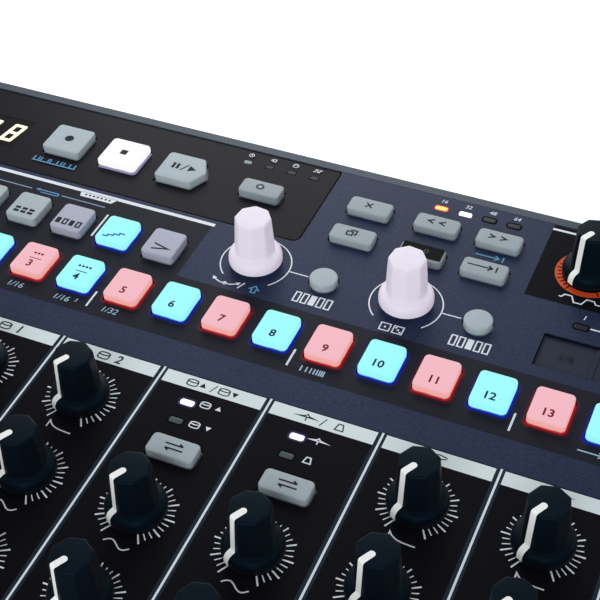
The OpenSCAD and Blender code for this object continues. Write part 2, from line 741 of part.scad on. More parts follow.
bottom_case();
top_panel();
display_plate();
control_board();
potentiometers();
touch_strip();
light_windows();
rear_sockets();
rubber_feet();
case_screws();
power_switch();
white_knob(tempo_at);  // tempo_knob
white_knob(swing_at);  // swing_knob
white_knob(random_at);  // random_knob
dark_knob(distortion_at);  // distortion_knob
dark_knob(volume_at);  // volume_knob
track_knob(1, 0);  // track1_knob_a
track_knob(1, 1);  // track1_knob_b
track_knob(1, 2);  // track1_knob_c
track_knob(2, 0);  // track2_knob_a
track_knob(2, 1);  // track2_knob_b
track_knob(2, 2);  // track2_knob_c
track_knob(3, 0);  // track3_knob_a
track_knob(3, 1);  // track3_knob_b
track_knob(3, 2);  // track3_knob_c
track_knob(4, 1);  // track4_knob_b
track_knob(4, 2);  // track4_knob_c
track_knob(5, 1);  // track5_knob_b
track_knob(5, 2);  // track5_knob_c
track_knob(6, 0);  // track6_knob_a
track_knob(6, 1);  // track6_knob_b
track_knob(6, 2);  // track6_knob_c
track_knob(7, 0);  // track7_knob_a
track_knob(7, 1);  // track7_knob_b
track_knob(7, 2);  // track7_knob_c
track_knob(8, 0);  // track8_knob_a
track_knob(8, 1);  // track8_knob_b
track_knob(8, 2);  // track8_knob_c
pad(1);  // pad_1
pad(2);  // pad_2
pad(3);  // pad_3
pad(4);  // pad_4
pad(5);  // pad_5
pad(6);  // pad_6
pad(7);  // pad_7
pad(8);  // pad_8
pad(9);  // pad_9
pad(10);  // pad_10
step_group(1);  // step_keys_1_4
step_group(5);  // step_keys_5_8
step_group(9);  // step_keys_9_12
step_group(13);  // step_keys_13_16
record_key();
stop_key();
play_key();
mode_keys();
edit_keys();
track_keys();
type_keys();
tempo_keys();
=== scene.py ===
"""The looks of a desktop drum machine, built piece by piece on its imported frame.

Sizes are in millimetres in the sloping panel's own frame, whose zero height is the panel's top face,
until a mesh is made. From there on everything is in metres in the row's frame.
"""

import json
import logging
import math
from collections.abc import Iterable, Sequence
from dataclasses import dataclass, field
from enum import Enum

import bpy
from mathutils import Matrix, Vector
from mathutils.geometry import tessellate_polygon


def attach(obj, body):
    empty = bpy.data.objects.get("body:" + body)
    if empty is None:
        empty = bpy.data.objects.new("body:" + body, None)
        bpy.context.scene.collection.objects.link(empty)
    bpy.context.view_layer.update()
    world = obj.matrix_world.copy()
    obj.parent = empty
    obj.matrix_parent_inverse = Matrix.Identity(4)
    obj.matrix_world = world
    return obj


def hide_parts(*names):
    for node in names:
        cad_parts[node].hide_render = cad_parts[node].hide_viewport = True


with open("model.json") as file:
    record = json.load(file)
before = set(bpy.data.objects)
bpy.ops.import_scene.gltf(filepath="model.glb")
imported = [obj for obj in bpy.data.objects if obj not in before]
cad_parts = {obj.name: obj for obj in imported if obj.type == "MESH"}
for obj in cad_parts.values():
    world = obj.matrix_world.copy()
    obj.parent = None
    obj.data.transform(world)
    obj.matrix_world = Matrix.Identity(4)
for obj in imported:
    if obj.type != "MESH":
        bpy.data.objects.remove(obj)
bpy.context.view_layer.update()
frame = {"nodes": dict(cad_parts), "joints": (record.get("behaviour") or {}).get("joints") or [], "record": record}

LOG = logging.getLogger("drum_machine")
MM = 0.001
Point = tuple[float, float]

# The panel's grid: width of an instrument's column, left edge of column 0, pitch of the step keys
COLUMN_W = 36.5
COLUMN_EDGE = -27.85
STEP_PITCH = 18.0
# The instruments, and those of them that have two sounds and a key in place of their upper knob
TRACKS = range(1, 9)
TWO_SOUND_TRACKS = (4, 5)
# The keys: gap round them in their holes, corners of those holes, top, thickness and rim of the web below
KEY_HOLE = 0.5
HOLE_R = 1.8
WEB_TOP = -1.9
WEB_T = 1.2
WEB_RIM = 1.2
# Heights of the print: dark areas, lines and signs over them, marks over those
INK_Z = 0.03
INK_LAYER = 0.03
LINE_Z = INK_Z + INK_LAYER
MARK_Z = INK_Z + 2 * INK_LAYER


def column_x(n: int) -> float:
    """Middle of instrument column n."""
    return COLUMN_EDGE + (n + 0.5) * COLUMN_W


def linear(code: str) -> tuple[float, float, float, float]:
    """Turn an sRGB hex colour into linear light.

    Args:
        code: Colour as "#rrggbb".

    Returns:
        Red, green, blue and alpha, for a shader's socket.
    """
    parts = [int(code[i:i + 2], 16) / 255 for i in (1, 3, 5)]
    r, g, b = (c / 12.92 if c <= 0.04045 else ((c + 0.055) / 1.055) ** 2.4 for c in parts)
    return r, g, b, 1.0


def add_node(tree: bpy.types.NodeTree, kind: str, inputs: dict | None = None, **settings) -> bpy.types.Node:
    """Add one node, set it up and link it.

    Args:
        tree: Node tree that takes the node.
        kind: Type of the node.
        inputs: For each input, by name or number, a value or the socket that feeds it.
        **settings: The node's own settings.

    Returns:
        The new node.
    """
    node = tree.nodes.new(kind)
    for name, value in settings.items():
        setattr(node, name, value)
    for name, value in (inputs or {}).items():
        if isinstance(value, bpy.types.NodeSocket):
            tree.links.new(value, node.inputs[name])
        else:
            node.inputs[name].default_value = value
    return node


def set_ramp(node: bpy.types.Node, stops: Sequence[tuple[float, str]]) -> None:
    """Give a colour ramp its stops.

    Args:
        node: The colour ramp.
        stops: Position and sRGB hex colour of each stop, in order.
    """
    elements = node.color_ramp.elements
    while len(elements) < len(stops):
        elements.new(0.5)
    for element, (position, code) in zip(elements, stops):
        element.position = position
        element.color = linear(code)


@dataclass(frozen=True)
class Grain:
    """A fine surface texture, as colour mottling and bump.

    Attributes:
        size: Width of one grain, in millimetres.
        depth: Height of a grain, in millimetres.
        mottle: How far the colour is lightened and darkened, from 0 to 1.
    """

    size: float
    depth: float
    mottle: float = 0.0


@dataclass(frozen=True)
class Nodes:
    """A material's nodes, while they are put together.

    Attributes:
        tree: The node tree.
        shader: The principled shader.
        place: Position on the piece, in metres.
    """

    tree: bpy.types.NodeTree
    shader: bpy.types.Node
    place: bpy.types.NodeSocket


@dataclass(frozen=True)
class Finish:
    """A surface finish: one colour with its grain, on the principled shader.

    Attributes:
        name: Name of the material.
        colour: Base colour, as sRGB hex.
        roughness: How matt the surface is.
        grain: Its fine texture.
        metallic: 1 for bare metal.
        ior: Index of refraction of the top layer.
        subsurface: Share of light that enters the body and comes out again.
        subsurface_depth: How far that light travels, in millimetres.
        coat: Strength of a clear gloss layer.
        sheen: Strength of the dusty bloom that rubber has at grazing angles.
        gloss: Strength of the top layer's reflection, 0.5 being what its index of refraction gives.
        tint: Colour of that reflection.
        glow: Strength of light painted on the surface as emission, for a body that is no lamp.
        glow_tint: Colour of that painted light.
    """

    name: str
    colour: str
    roughness: float
    grain: Grain
    metallic: float = 0.0
    ior: float = 1.5
    subsurface: float = 0.0
    subsurface_depth: float = 1.0
    coat: float = 0.0
    sheen: float = 0.0
    gloss: float = 0.5
    tint: str = "#ffffff"
    glow: float = 0.0
    glow_tint: str = "#ffffff"

    def base(self) -> tuple[float, ...]:
        """The colour that the room's light shows."""
        return linear(self.colour)

    def material(self) -> bpy.types.Material:
        """Find the finish's material, or make it on its first use.

        Returns:
            The material.
        """
        if self.name in bpy.data.materials:
            return bpy.data.materials[self.name]
        made = bpy.data.materials.new(self.name)
        made.use_nodes = True
        made.diffuse_color = linear(self.colour)
        tree = made.node_tree
        shader = tree.nodes["Principled BSDF"]
        sockets = {"Roughness": self.roughness, "Metallic": self.metallic,
                   "Subsurface Weight": self.subsurface, "Subsurface Scale": self.subsurface_depth * MM,
                   "Coat Weight": self.coat, "Sheen Weight": self.sheen, "Specular IOR Level": self.gloss,
                   "Specular Tint": linear(self.tint), "Emission Color": linear(self.glow_tint),
                   "Emission Strength": self.glow}
        if not self.metallic:
            sockets["IOR"] = self.ior
        for name, value in sockets.items():
            shader.inputs[name].default_value = value
        nodes = Nodes(tree, shader, add_node(tree, "ShaderNodeTexCoord").outputs["Object"])
        tree.links.new(self.colour_socket(nodes), shader.inputs["Base Color"])
        tree.links.new(self.bump_socket(nodes), shader.inputs["Normal"])
        self.dress(nodes)
        return made

    def colour_socket(self, nodes: Nodes) -> bpy.types.NodeSocket:
        """Mottle the base colour with broad and fine grain.

        Args:
            nodes: The material's nodes.

        Returns:
            The colour.
        """
        low, high = 0.3, 0.7
        noise = add_node(nodes.tree, "ShaderNodeTexNoise", {
            "Vector": nodes.place, "Scale": 1 / (self.grain.size * MM), "Detail": 3.0, "Roughness": 0.6})
        value = add_node(nodes.tree, "ShaderNodeMapRange", {
            "Value": noise.outputs["Fac"], "From Min": low, "From Max": high,
            "To Min": 1 - self.grain.mottle, "To Max": 1 + self.grain.mottle})
        return add_node(nodes.tree, "ShaderNodeHueSaturation", {
            "Value": value.outputs["Result"], "Color": self.base()}).outputs["Color"]

    def bump_socket(self, nodes: Nodes) -> bpy.types.NodeSocket:
        """Raise the grain.

        Args:
            nodes: The material's nodes.

        Returns:
            The bumped normal.
        """
        noise = add_node(nodes.tree, "ShaderNodeTexNoise", {
            "Vector": nodes.place, "Scale": 1 / (self.grain.size * MM), "Detail": 2.0})
        bump = add_node(nodes.tree, "ShaderNodeBump", {
            "Height": noise.outputs["Fac"], "Strength": 1.0, "Distance": self.grain.depth * MM})
        return bump.outputs["Normal"]

    def dress(self, nodes: Nodes) -> None:
        """Add what a special finish has beyond its colour and grain; a plain one has nothing.

        Args:
            nodes: The material's nodes.
        """


@dataclass(frozen=True)
class Ink(Finish):
    """Screen printing ink or a laser mark: a thin matt layer, almost without grain, that hardly reflects."""

    roughness: float = 0.6
    grain: Grain = Grain(0.3, 0.002, 0.05)
    gloss: float = 0.2


@dataclass(frozen=True)
class Silicone(Finish):
    """Moulded silicone rubber: pale, slightly see-through, with a dusty bloom and no hard highlight."""

    roughness: float = 0.55
    grain: Grain = Grain(0.8, 0.006, 0.03)
    ior: float = 1.41
    subsurface: float = 0.25
    subsurface_depth: float = 1.2
    sheen: float = 0.1
    gloss: float = 0.3


@dataclass(frozen=True)
class Lens(Finish):
    """An unlit lens of moulded acrylic: smooth, in the grey of what lies behind it."""

    roughness: float = 0.35
    grain: Grain = Grain(0.6, 0.004, 0.08)
    ior: float = 1.49
    gloss: float = 0.2


@dataclass(frozen=True)
class LitSilicone(Finish):
    """Silicone key lit from below: pale on top, deep in colour at the foot of its walls.

    Attributes:
        rim: Colour of the light at the foot of the key's walls.
        edge: Colour of the walls.
        share: Share of the key's brightness that comes from its lamp; the room gives the rest.
    """

    roughness: float = 0.55
    grain: Grain = Grain(0.8, 0.006)
    ior: float = 1.41
    gloss: float = 0.1
    rim: str = "#000000"
    edge: str = "#000000"
    share: float = 0.88

    def base(self) -> tuple[float, ...]:
        """The colour that the room's light shows: what the lamp leaves over."""
        return *(part * (1 - self.share) for part in linear(self.colour)[:3]), 1.0

    def dress(self, nodes: Nodes) -> None:
        """Let the lamp's light out, by the mesh's own measure of how deep each point is.

        Args:
            nodes: The material's nodes.
        """
        cloud_size, drift_depth = 4.0, 0.06
        foot, wall, face = 0.1, 0.145, 0.55
        depth = add_node(nodes.tree, "ShaderNodeAttribute", attribute_name="lit").outputs["Fac"]
        cloud = add_node(nodes.tree, "ShaderNodeTexNoise", {
            "Vector": nodes.place, "Scale": 1 / (cloud_size * MM), "Detail": 1.0})
        drift = add_node(nodes.tree, "ShaderNodeMath", {
            0: cloud.outputs["Fac"], 1: drift_depth, 2: -drift_depth / 2}, operation="MULTIPLY_ADD")
        level = add_node(nodes.tree, "ShaderNodeMath", {0: depth, 1: drift.outputs[0]}, operation="ADD")
        ramp = add_node(nodes.tree, "ShaderNodeValToRGB", {"Fac": level.outputs[0]})
        set_ramp(ramp, ((foot, self.rim), (wall, self.edge), (face, self.colour)))
        nodes.tree.links.new(ramp.outputs["Color"], nodes.shader.inputs["Emission Color"])
        nodes.shader.inputs["Emission Strength"].default_value = self.share


@dataclass(frozen=True)
class Lamp(Finish):
    """A lit lens: its own colour in the middle, the rim's colour round it.

    Attributes:
        rim: Colour at the lens's edge.
        strength: Brightness.
    """

    roughness: float = 0.3
    grain: Grain = Grain(1.0, 0.001)
    rim: str = "#ffffff"
    strength: float = 1.0

    def dress(self, nodes: Nodes) -> None:
        """Light the lens.

        Args:
            nodes: The material's nodes.
        """
        rim_end, middle = 0.1, 0.9
        depth = add_node(nodes.tree, "ShaderNodeAttribute", attribute_name="lit").outputs["Fac"]
        ramp = add_node(nodes.tree, "ShaderNodeValToRGB", {"Fac": depth})
        set_ramp(ramp, ((rim_end, self.rim), (middle, self.colour)))
        nodes.tree.links.new(ramp.outputs["Color"], nodes.shader.inputs["Emission Color"])
        nodes.shader.inputs["Emission Strength"].default_value = self.strength


@dataclass(frozen=True)
class Spill(Finish):
    """A surface coloured by a lamp beside it.

    Attributes:
        light: Colour of the lamp's light.
        strength: Its brightness where the surface meets the lamp.
    """

    light: str = "#ffffff"
    strength: float = 0.5

    @classmethod
    def on(cls, surface: Finish, name: str, light: str, strength: float) -> "Spill":
        """Colour a surface.

        Args:
            surface: The surface's own finish.
            name: Name of the new finish.
            light: Colour of the lamp's light.
            strength: Its brightness where the surface meets the lamp.

        Returns:
            The new finish.
        """
        return cls(name, surface.colour, surface.roughness, surface.grain, gloss=surface.gloss,
                   tint=surface.tint, light=light, strength=strength)

    def dress(self, nodes: Nodes) -> None:
        """Let the light fade with the distance from the lamp.

        Args:
            nodes: The material's nodes.
        """
        near = add_node(nodes.tree, "ShaderNodeAttribute", attribute_name="lit").outputs["Fac"]
        fade = add_node(nodes.tree, "ShaderNodeMath", {0: near, 1: 2.0}, operation="POWER")
        level = add_node(nodes.tree, "ShaderNodeMath", {0: fade.outputs[0], 1: self.strength},
                         operation="MULTIPLY")
        nodes.shader.inputs["Emission Color"].default_value = linear(self.light)
        nodes.tree.links.new(level.outputs[0], nodes.shader.inputs["Emission Strength"])


# Powder-coated sheet steel: a slate blue with a fine orange-peel grain that breaks up the highlights.
# The real grain is about 0.15 mm; it is drawn several times as coarse, so that it shows.
POWDER_COAT = Finish("powder_coat_slate", "#1d2640", 0.48, Grain(0.8, 0.07, 0.4), gloss=0.12, tint="#dfebff")
# The same coat along the back fold, painted paler: a painted highlight where the bevel catches the light.
FOLD_HIGHLIGHT_COAT = Finish("powder_coat_painted_highlight", "#464e57", 0.48, Grain(0.8, 0.05, 0.15), gloss=0.12, tint="#dfebff")
# Screen printing inks of lines and signs: thin, crisp and almost flat in colour.
SMOOTH_INK = Grain(0.3, 0.002, 0.03)
WHITE_INK = Ink("screen_ink_white", "#dfe6ee", grain=SMOOTH_INK)
HEADER_INK = Ink("screen_ink_pale_grey", "#d8e5e7", grain=SMOOTH_INK)
BLUE_INK = Ink("screen_ink_blue", "#5f9cc8")
PALE_BLUE_INK = Ink("screen_ink_pale_blue", "#a9c4dc")
GREY_BLUE_INK = Ink("screen_ink_grey_blue", "#8094b2", grain=Grain(0.3, 0.002, 0.04))
# A broad orange ring, printed thick enough to look a little uneven.
ORANGE_INK = Ink("screen_ink_orange", "#c9481f", 0.55, Grain(0.3, 0.002, 0.12))
# Screen printing inks of the dark areas: the coat's grain shows through them, and they are nearly dead matt.
SLATE_INK = Ink("screen_ink_slate", "#1b2a35", 0.6, Grain(0.4, 0.008, 0.08), gloss=0.05)
STRIP_INK = Ink("screen_ink_charcoal", "#1b1b26", 0.5, Grain(0.4, 0.008, 0.08), gloss=0.055)
BLACK_INK = Ink("screen_ink_black", "#0e0d13", 0.5, Grain(0.4, 0.008, 0.1), gloss=0.022)
# Laser marks, burnt into rubber and print: dull, dark and without an edge that catches light.
DARK_LEGEND = Ink("laser_mark_dark", "#161c20", gloss=0.1)
GREY_LEGEND = Ink("laser_mark_grey", "#5c6064", gloss=0.1)
# The same marks on lit keys, which shine through them in a deep shade of their own colour.
RED_LEGEND = Ink("laser_mark_on_red", "#7a1122", gloss=0.1)
BLUE_LEGEND = Ink("laser_mark_on_blue", "#0a1c50", gloss=0.1)
MODE_LEGEND = Ink("laser_mark_bright_blue", "#1658b4", gloss=0.1)
# Hard-coated polycarbonate sheet: nearly black, satin, smoother than the panel.
SATIN_PLATE = Finish("satin_polycarbonate", "#17161d", 0.36, Grain(0.3, 0.004, 0.06), ior=1.58, gloss=0.028)
# Painted shadow: a flat black that swallows the light, laid in the shadow gap round the display plate, round the
# unlit flush windows and along the touch strip's recess.
SHADOW_BLACK = Finish("painted_shadow_black", "#050506", 0.9, Grain(0.4, 0.02, 0.1), gloss=0.05)
# Soft-touch foil over the strip's sensors: the panel's slate, but duller and darker.
TOUCH_FOIL = Finish("soft_touch_foil", "#252b3a", 0.6, Grain(0.4, 0.004, 0.06), gloss=0.1)
# Injection-moulded ABS with a spark-eroded grain, drawn at 0.5 mm: an even, dull charcoal.
CASE_ABS = Finish("spark_grained_abs", "#1d1e22", 0.55, Grain(0.5, 0.03, 0.1), ior=1.53, gloss=0.3)
# Moulded silicone rubber keys: pale and soft-looking. The small ones are painted a shade darker, as painted shade
# where the light falls off, and two mode keys are given a painted lilac cast from the blue light of the lit key
# between them.
KEY_SILICONE = Silicone("grey_silicone_key", "#a5b3b9")
SHADED_SMALL_KEY_SILICONE = Silicone("grey_silicone_key_painted_shade", "#95a1a7")
KEY_PAINTED_LILAC = Silicone("grey_silicone_key_painted_lilac_light", "#a9acbe")
# The pads' rubber is thicker and its grain is coarser, so the bloom shows more.
PAD_SILICONE = Silicone("pad_silicone", "#84888d", 0.6, Grain(0.7, 0.015, 0.05), subsurface=0.15,
                        subsurface_depth=1.5, sheen=0.2)
# Moulded silicone keys over a lamp, which fills them with light: cyan, pink, and a plain bright white.
CYAN_KEY = LitSilicone("silicone_lit_cyan", "#a2feff", rim="#0503a8", edge="#9cfdff")
PINK_KEY = LitSilicone("silicone_lit_pink", "#f4bbc5", rim="#a8040f", edge="#f4a89c")
WHITE_KEY = LitSilicone("silicone_lit_white", "#fdfdff", rim="#8a86a8", edge="#fdfdff", share=0.95)
# Black lacquer that is sprayed on a key's face and takes its bloom away.
BLACK_KEY = Finish("black_key_lacquer", "#030304", 0.5, Grain(0.5, 0.004, 0.05), gloss=0.03)
# Soft-touch lacquer on moulded knobs: nearly black, with a faint teal bloom along the edges.
DARK_KNOB = Finish("soft_touch_knob", "#050d16", 0.42, Grain(0.3, 0.004, 0.05), gloss=0.05, tint="#8fdcff",
                   sheen=0.02)
# Moulded opal ABS that lets light into its body; the faint lilac-white emission on it is painted light, which
# keeps even its shaded facets pale.
WHITE_KNOB = Finish("opal_knob", "#bcbdc2", 0.45, Grain(0.3, 0.002, 0.01), subsurface=0.4,
                    subsurface_depth=2.5, gloss=0.2, glow=0.34, glow_tint="#f6e4ff")
# Filled-in opaque paint: a clean white line on the dark knob.
POINTER_PAINT = Finish("pointer_paint", "#f4f6f4", 0.5, SMOOTH_INK, gloss=0.2)
# Moulded rubber: black, coarse and without any shine.
FOOT_RUBBER = Finish("moulded_rubber", "#101113", 0.8, Grain(0.6, 0.03, 0.1), ior=1.52, gloss=0.3)
# Nickel-plated turned brass: bright, with sharp reflections.
NICKEL = Finish("nickel_plated_brass", "#b9bcbf", 0.28, Grain(0.2, 0.002, 0.03), metallic=1.0)
# Zinc-plated pressed steel: greyer than nickel, with blurred reflections.
ZINC_STEEL = Finish("zinc_plated_steel", "#8e9196", 0.38, Grain(0.3, 0.004, 0.06), metallic=1.0)
# Moulded nylon filled with glass: dark, with a fine cloudiness.
SOCKET_NYLON = Finish("glass_filled_nylon", "#222327", 0.5, Grain(0.4, 0.01, 0.08), ior=1.53, gloss=0.3)
# Glass laminate under solder mask: a glossy green, patchy where the copper lies.
BOARD_LAMINATE = Finish("solder_mask_green", "#1f5a3c", 0.35, Grain(1.2, 0.01, 0.12), coat=0.3)
# Smoked acrylic: as dark as the plate round it, until digits light up in it.
SMOKED_LENS = Lens("smoked_acrylic", "#17161c", 0.3, Grain(2.0, 0.001, 0.02), gloss=0.03)
# Moulded acrylic lenses of lamps that are off: clear, smoked and milky.
DARK_LENS = Lens("unlit_lens", "#394446")
BLACK_LENS = Lens("unlit_smoked_lens", "#212229", gloss=0.1)
PALE_LENS = Lens("unlit_milky_lens", "#7e8b8c")
# Lit bars of the display: nearly white with a warm edge, in a dim yellow halo.
DIGIT_LIGHT = Lamp("digit_light", "#fffde0", 0.4, rim="#fffcc4")
DIGIT_HALO = Lamp("digit_halo", "#6a6a26", 0.4, rim="#55541c", strength=0.6)
# Moulded acrylic lenses of lamps that are on: a bright middle in a rim of deeper colour.
ORANGE_LAMP = Lamp("lamp_orange", "#ffa02c", rim="#ff1a02")
WHITE_LAMP = Lamp("lamp_white", "#ffffff", rim="#c9c9f0", strength=1.1)
# The print and paint beside a lamp or a lit key, coloured by its light, which fades out with distance.
BLUE_SPILL = Spill.on(STRIP_INK, "ink_beside_cyan_key", "#1a10a0", 0.5)
RED_SPILL = Spill.on(STRIP_INK, "ink_beside_pink_key", "#8c0a18", 0.4)
ORANGE_SPILL = Spill.on(POWDER_COAT, "paint_beside_orange_lamp", "#c01808", 0.7)
LILAC_SPILL = Spill.on(BLACK_INK, "ink_beside_white_lamp", "#6a5c9c", 0.6)


class Body(Enum):
    """The bodies that carry more than one piece."""

    ROOT = "root"


def panel_matrix() -> Matrix:
    """Find the panel's frame from the shaft of the left white knob.

    Returns:
        The matrix that takes panel millimetres to metres in the row's frame.
    """
    shaft_x, shaft_y = column_x(3.668), 32.4
    joint = next(j for j in frame["joints"] if j["name"] == "swing_turn")
    normal = Vector(joint["axis"]).normalized()
    along = Vector((1, 0, 0))
    back = normal.cross(along)
    origin = Vector(joint["pos_m"]) - (shaft_x * along + shaft_y * back) * MM
    matrix = Matrix((along * MM, back * MM, normal * MM)).transposed().to_4x4()
    matrix.translation = origin
    return matrix


PANEL = panel_matrix()
ROW = Matrix.Scale(MM, 4)


def outline(corners: Sequence[Point], inset: float = 0.0, radius: float = 1.0, steps: int = 6) -> list[Point]:
    """Round the corners of a convex shape with true arcs.

    Args:
        corners: The shape's corners, counter-clockwise.
        inset: How far its sides move inwards.
        radius: Radius of each corner.
        steps: Number of chords in each arc.

    Returns:
        The outline's points, counter-clockwise.
    """
    points: list[Point] = []
    for i, corner in enumerate(corners):
        here, before = Vector(corner), Vector(corners[i - 1])
        after = Vector(corners[(i + 1) % len(corners)])
        incoming, outgoing = (here - before).normalized(), (after - here).normalized()
        inner_a, inner_b = Vector((-incoming.y, incoming.x)), Vector((-outgoing.y, outgoing.x))
        centre = here + (inner_a + inner_b) / (1 + inner_a.dot(inner_b)) * (inset + radius)
        start = math.atan2(-inner_a.y, -inner_a.x)
        turn = (math.atan2(-inner_b.y, -inner_b.x) - start) % (2 * math.pi)
        for k in range(steps + 1):
            angle = start + turn * k / steps
            points.append((centre.x + radius * math.cos(angle), centre.y + radius * math.sin(angle)))
    return points


def box_corners(x: float, y: float, width: float, depth: float) -> list[Point]:
    """Corners of a rectangle round its middle, counter-clockwise."""
    a, b = width / 2, depth / 2
    return [(x - a, y - b), (x + a, y - b), (x + a, y + b), (x - a, y + b)]


def at_height(z: float, points: Iterable[Point]) -> list[tuple[float, float, float]]:
    """Lift flat points to one height."""
    return [(x, y, z) for x, y in points]


def round_edge(radius: float) -> list[Point]:
    """Drop from the top and inset from the wall, for each point of a quarter round."""
    angles = [math.radians(15 * k) for k in range(1, 7)]
    return [(radius * (1 - math.sin(a)), radius * (1 - math.cos(a))) for a in angles]


@dataclass
class Shape:
    """Points and faces in millimetres, gathered into one mesh.

    Attributes:
        points: The points.
        faces: Indices of each face's points.
        lit: How deep in the light each point is, from 0 to 1.
    """

    points: list[tuple[float, ...]] = field(default_factory=list)
    faces: list[tuple[int, ...]] = field(default_factory=list)
    lit: list[float] = field(default_factory=list)

    def add(self, points: Iterable[Sequence[float]], faces: Iterable[Sequence[int]],
            lit: float = 0.0) -> None:
        """Add points and the faces between them.

        Args:
            points: The points.
            faces: Each face's points, counted from the first of these.
            lit: How deep in the light the points are.
        """
        base = len(self.points)
        self.points.extend(tuple(p) for p in points)
        self.lit.extend([lit] * (len(self.points) - base))
        self.faces.extend(tuple(base + i for i in face) for face in faces)

    def loft(self, rings: Sequence[Sequence[Sequence[float]]], lit: Sequence[float] | None = None,
             capped: bool = True, strip: bool = False) -> None:
        """Skin a stack of rings that all have the same number of points.

        Args:
            rings: The rings, from the lowest up.
            lit: How deep in the light each ring is.
            capped: Whether the first and the last ring are filled.
            strip: Whether the rings are open lines, for a strip without ends.
        """
        count, base = len(rings[0]), len(self.points)
        span = count - 1 if strip else count
        for k, ring in enumerate(rings):
            self.add(ring, (), lit[k] if lit else 0.0)
        for k in range(len(rings) - 1):
            low = base + k * count
            for i in range(span):
                j = (i + 1) % count
                self.faces.append((low + i, low + j, low + count + j, low + count + i))
        if capped and not strip:
            top = base + (len(rings) - 1) * count
            self.faces.append(tuple(base + i for i in reversed(range(count))))
            self.faces.append(tuple(top + i for i in range(count)))

    def make(self, name: str, finish: Finish, place: Matrix = PANEL, sharp: float = 35.0) -> bpy.types.Object:
        """Turn the shape into an object, smooth except where faces meet at a sharp angle.

        Args:
            name: Name of the piece.
            finish: Its finish.
            place: The matrix from millimetres to the row's frame.
            sharp: Angle from which an edge stays sharp, in degrees.

        Returns:
            The object.
        """
        mesh = bpy.data.meshes.new(name)
        mesh.from_pydata([place @ Vector(p) for p in self.points], [], self.faces)
        mesh.attributes.new("lit", "FLOAT", "POINT").data.foreach_set("value", self.lit)
        mesh.polygons.foreach_set("use_smooth", [True] * len(mesh.polygons))
        mesh.set_sharp_from_angle(angle=math.radians(sharp))
        mesh.materials.append(finish.material())
        mesh.update()
        piece = bpy.data.objects.new(name, mesh)
        bpy.context.scene.collection.objects.link(piece)
        return piece

    def paint(self, name: str, finish: Finish) -> None:
        """Lay the shape on the panel, as a layer of its paint."""
        fit(self.make(name, finish), "panel_paint")


@dataclass
class Print(Shape):
    """Flat marks of one colour, all at one height.

    Attributes:
        z: Height of the marks.
    """

    z: float = INK_Z

    def area(self, *loops: Sequence[Point]) -> None:
        """Fill the first loop, less the other ones."""
        flat = [p for loop in loops for p in loop]
        triangles = tessellate_polygon([[Vector((x, y, 0)) for x, y in loop] for loop in loops])
        self.add(at_height(self.z, flat), triangles)

    def rect(self, x0: float, y0: float, x1: float, y1: float) -> None:
        """Fill a rectangle given by two corners."""
        self.area([(x0, y0), (x1, y0), (x1, y1), (x0, y1)])

    def line(self, points: Sequence[Point], width: float) -> None:
        """Draw one stroke with mitred bends; it is closed if it ends where it starts.

        Args:
            points: The stroke's middle line.
            width: Its width.
        """
        line = [Vector(p) for p in points]
        closed = (line[0] - line[-1]).length < 1e-6
        if closed:
            line.pop()
        edges: tuple[list, list] = ([], [])
        for i, here in enumerate(line):
            sides = []
            for k in (i - 1, i):
                if closed or 0 <= k < len(line) - 1:
                    along = (line[(k + 1) % len(line)] - line[k]).normalized()
                    sides.append(Vector((-along.y, along.x)))
            mitre = (sides[0] + sides[-1]) / (1 + sides[0].dot(sides[-1])) * width / 2
            for edge, sign in zip(edges, (-1, 1)):
                edge.append((*(here + sign * mitre), self.z))
        if closed:
            for edge in edges:
                edge.append(edge[0])
        self.loft(edges, strip=True)

    def tick(self, x: float, y: float, direction: float, inner: float, outer: float, width: float) -> None:
        """Draw a stroke that points away from a middle.

        Args:
            x: The middle.
            y: The middle.
            direction: Direction of the stroke, in degrees.
            inner: Distance of its near end.
            outer: Distance of its far end.
            width: Its width.
        """
        self.line([arc(x, y, r, direction, direction, 1)[0] for r in (inner, outer)], width)

    def sign(self, sign: "Sign", x: float, y: float, height: float, width: float = 0.4) -> None:
        """Draw a sign round a point.

        Args:
            sign: The sign.
            x: Its middle.
            y: Its middle.
            height: Its height.
            width: Width of its strokes.
        """
        half = height / 2

        def moved(points: Iterable[Point]) -> list[Point]:
            """Put points of the sign in place."""
            return [(x + half * px, y + half * py) for px, py in points]

        for stroke in sign.value.strokes:
            self.line(moved(stroke), width)
        for fill in sign.value.fills:
            self.area(moved(fill))

    def disc(self, x: float, y: float, radius: float, steps: int = 24) -> None:
        """Fill a disc."""
        self.area(arc(x, y, radius, 0, 360 - 360 / steps, steps - 1))

    def ring(self, x: float, y: float, radius: float, width: float, start: float = 0,
             end: float = 360) -> None:
        """Draw an arc.

        Args:
            x: Its middle.
            y: Its middle.
            radius: Radius of its middle line.
            width: Its width.
            start: Direction of its first end, in degrees.
            end: Direction of its last end, in degrees.
        """
        steps = max(8, round(abs(end - start) / 6))
        self.loft([at_height(self.z, arc(x, y, radius + side * width / 2, start, end, steps))
                   for side in (1, -1)], strip=True)

    def number(self, text: str, x: float, y: float, height: float, slant: float = 0.18,
               bold: float = 0.0) -> None:
        """Print a number, centred.

        Args:
            text: The digits.
            x: Middle of the number.
            y: Middle of the number.
            height: Height of its digits.
            slant: Lean to the right.
            bold: How far each stroke is thickened.
        """
        digit_height = 0.69
        letters = bpy.data.curves.new("number", "FONT")
        letters.body, letters.shear, letters.offset = text, slant, bold
        letters.size = height / digit_height
        letters.resolution_u = 3
        carrier = bpy.data.objects.new("number", letters)
        flat = carrier.to_mesh()
        xs = [v.co.x for v in flat.vertices]
        shift = x - (min(xs) + max(xs)) / 2
        self.add([(v.co.x + shift, v.co.y + y - height / 2, self.z) for v in flat.vertices],
                 [p.vertices for p in flat.polygons])
        carrier.to_mesh_clear()
        bpy.data.objects.remove(carrier)
        bpy.data.curves.remove(letters)


def arc(x: float, y: float, radius: float, start: float, end: float, steps: int) -> list[Point]:
    """Points along an arc, with its angles in degrees."""
    angles = [math.radians(start + (end - start) * k / steps) for k in range(steps + 1)]
    return [(x + radius * math.cos(a), y + radius * math.sin(a)) for a in angles]


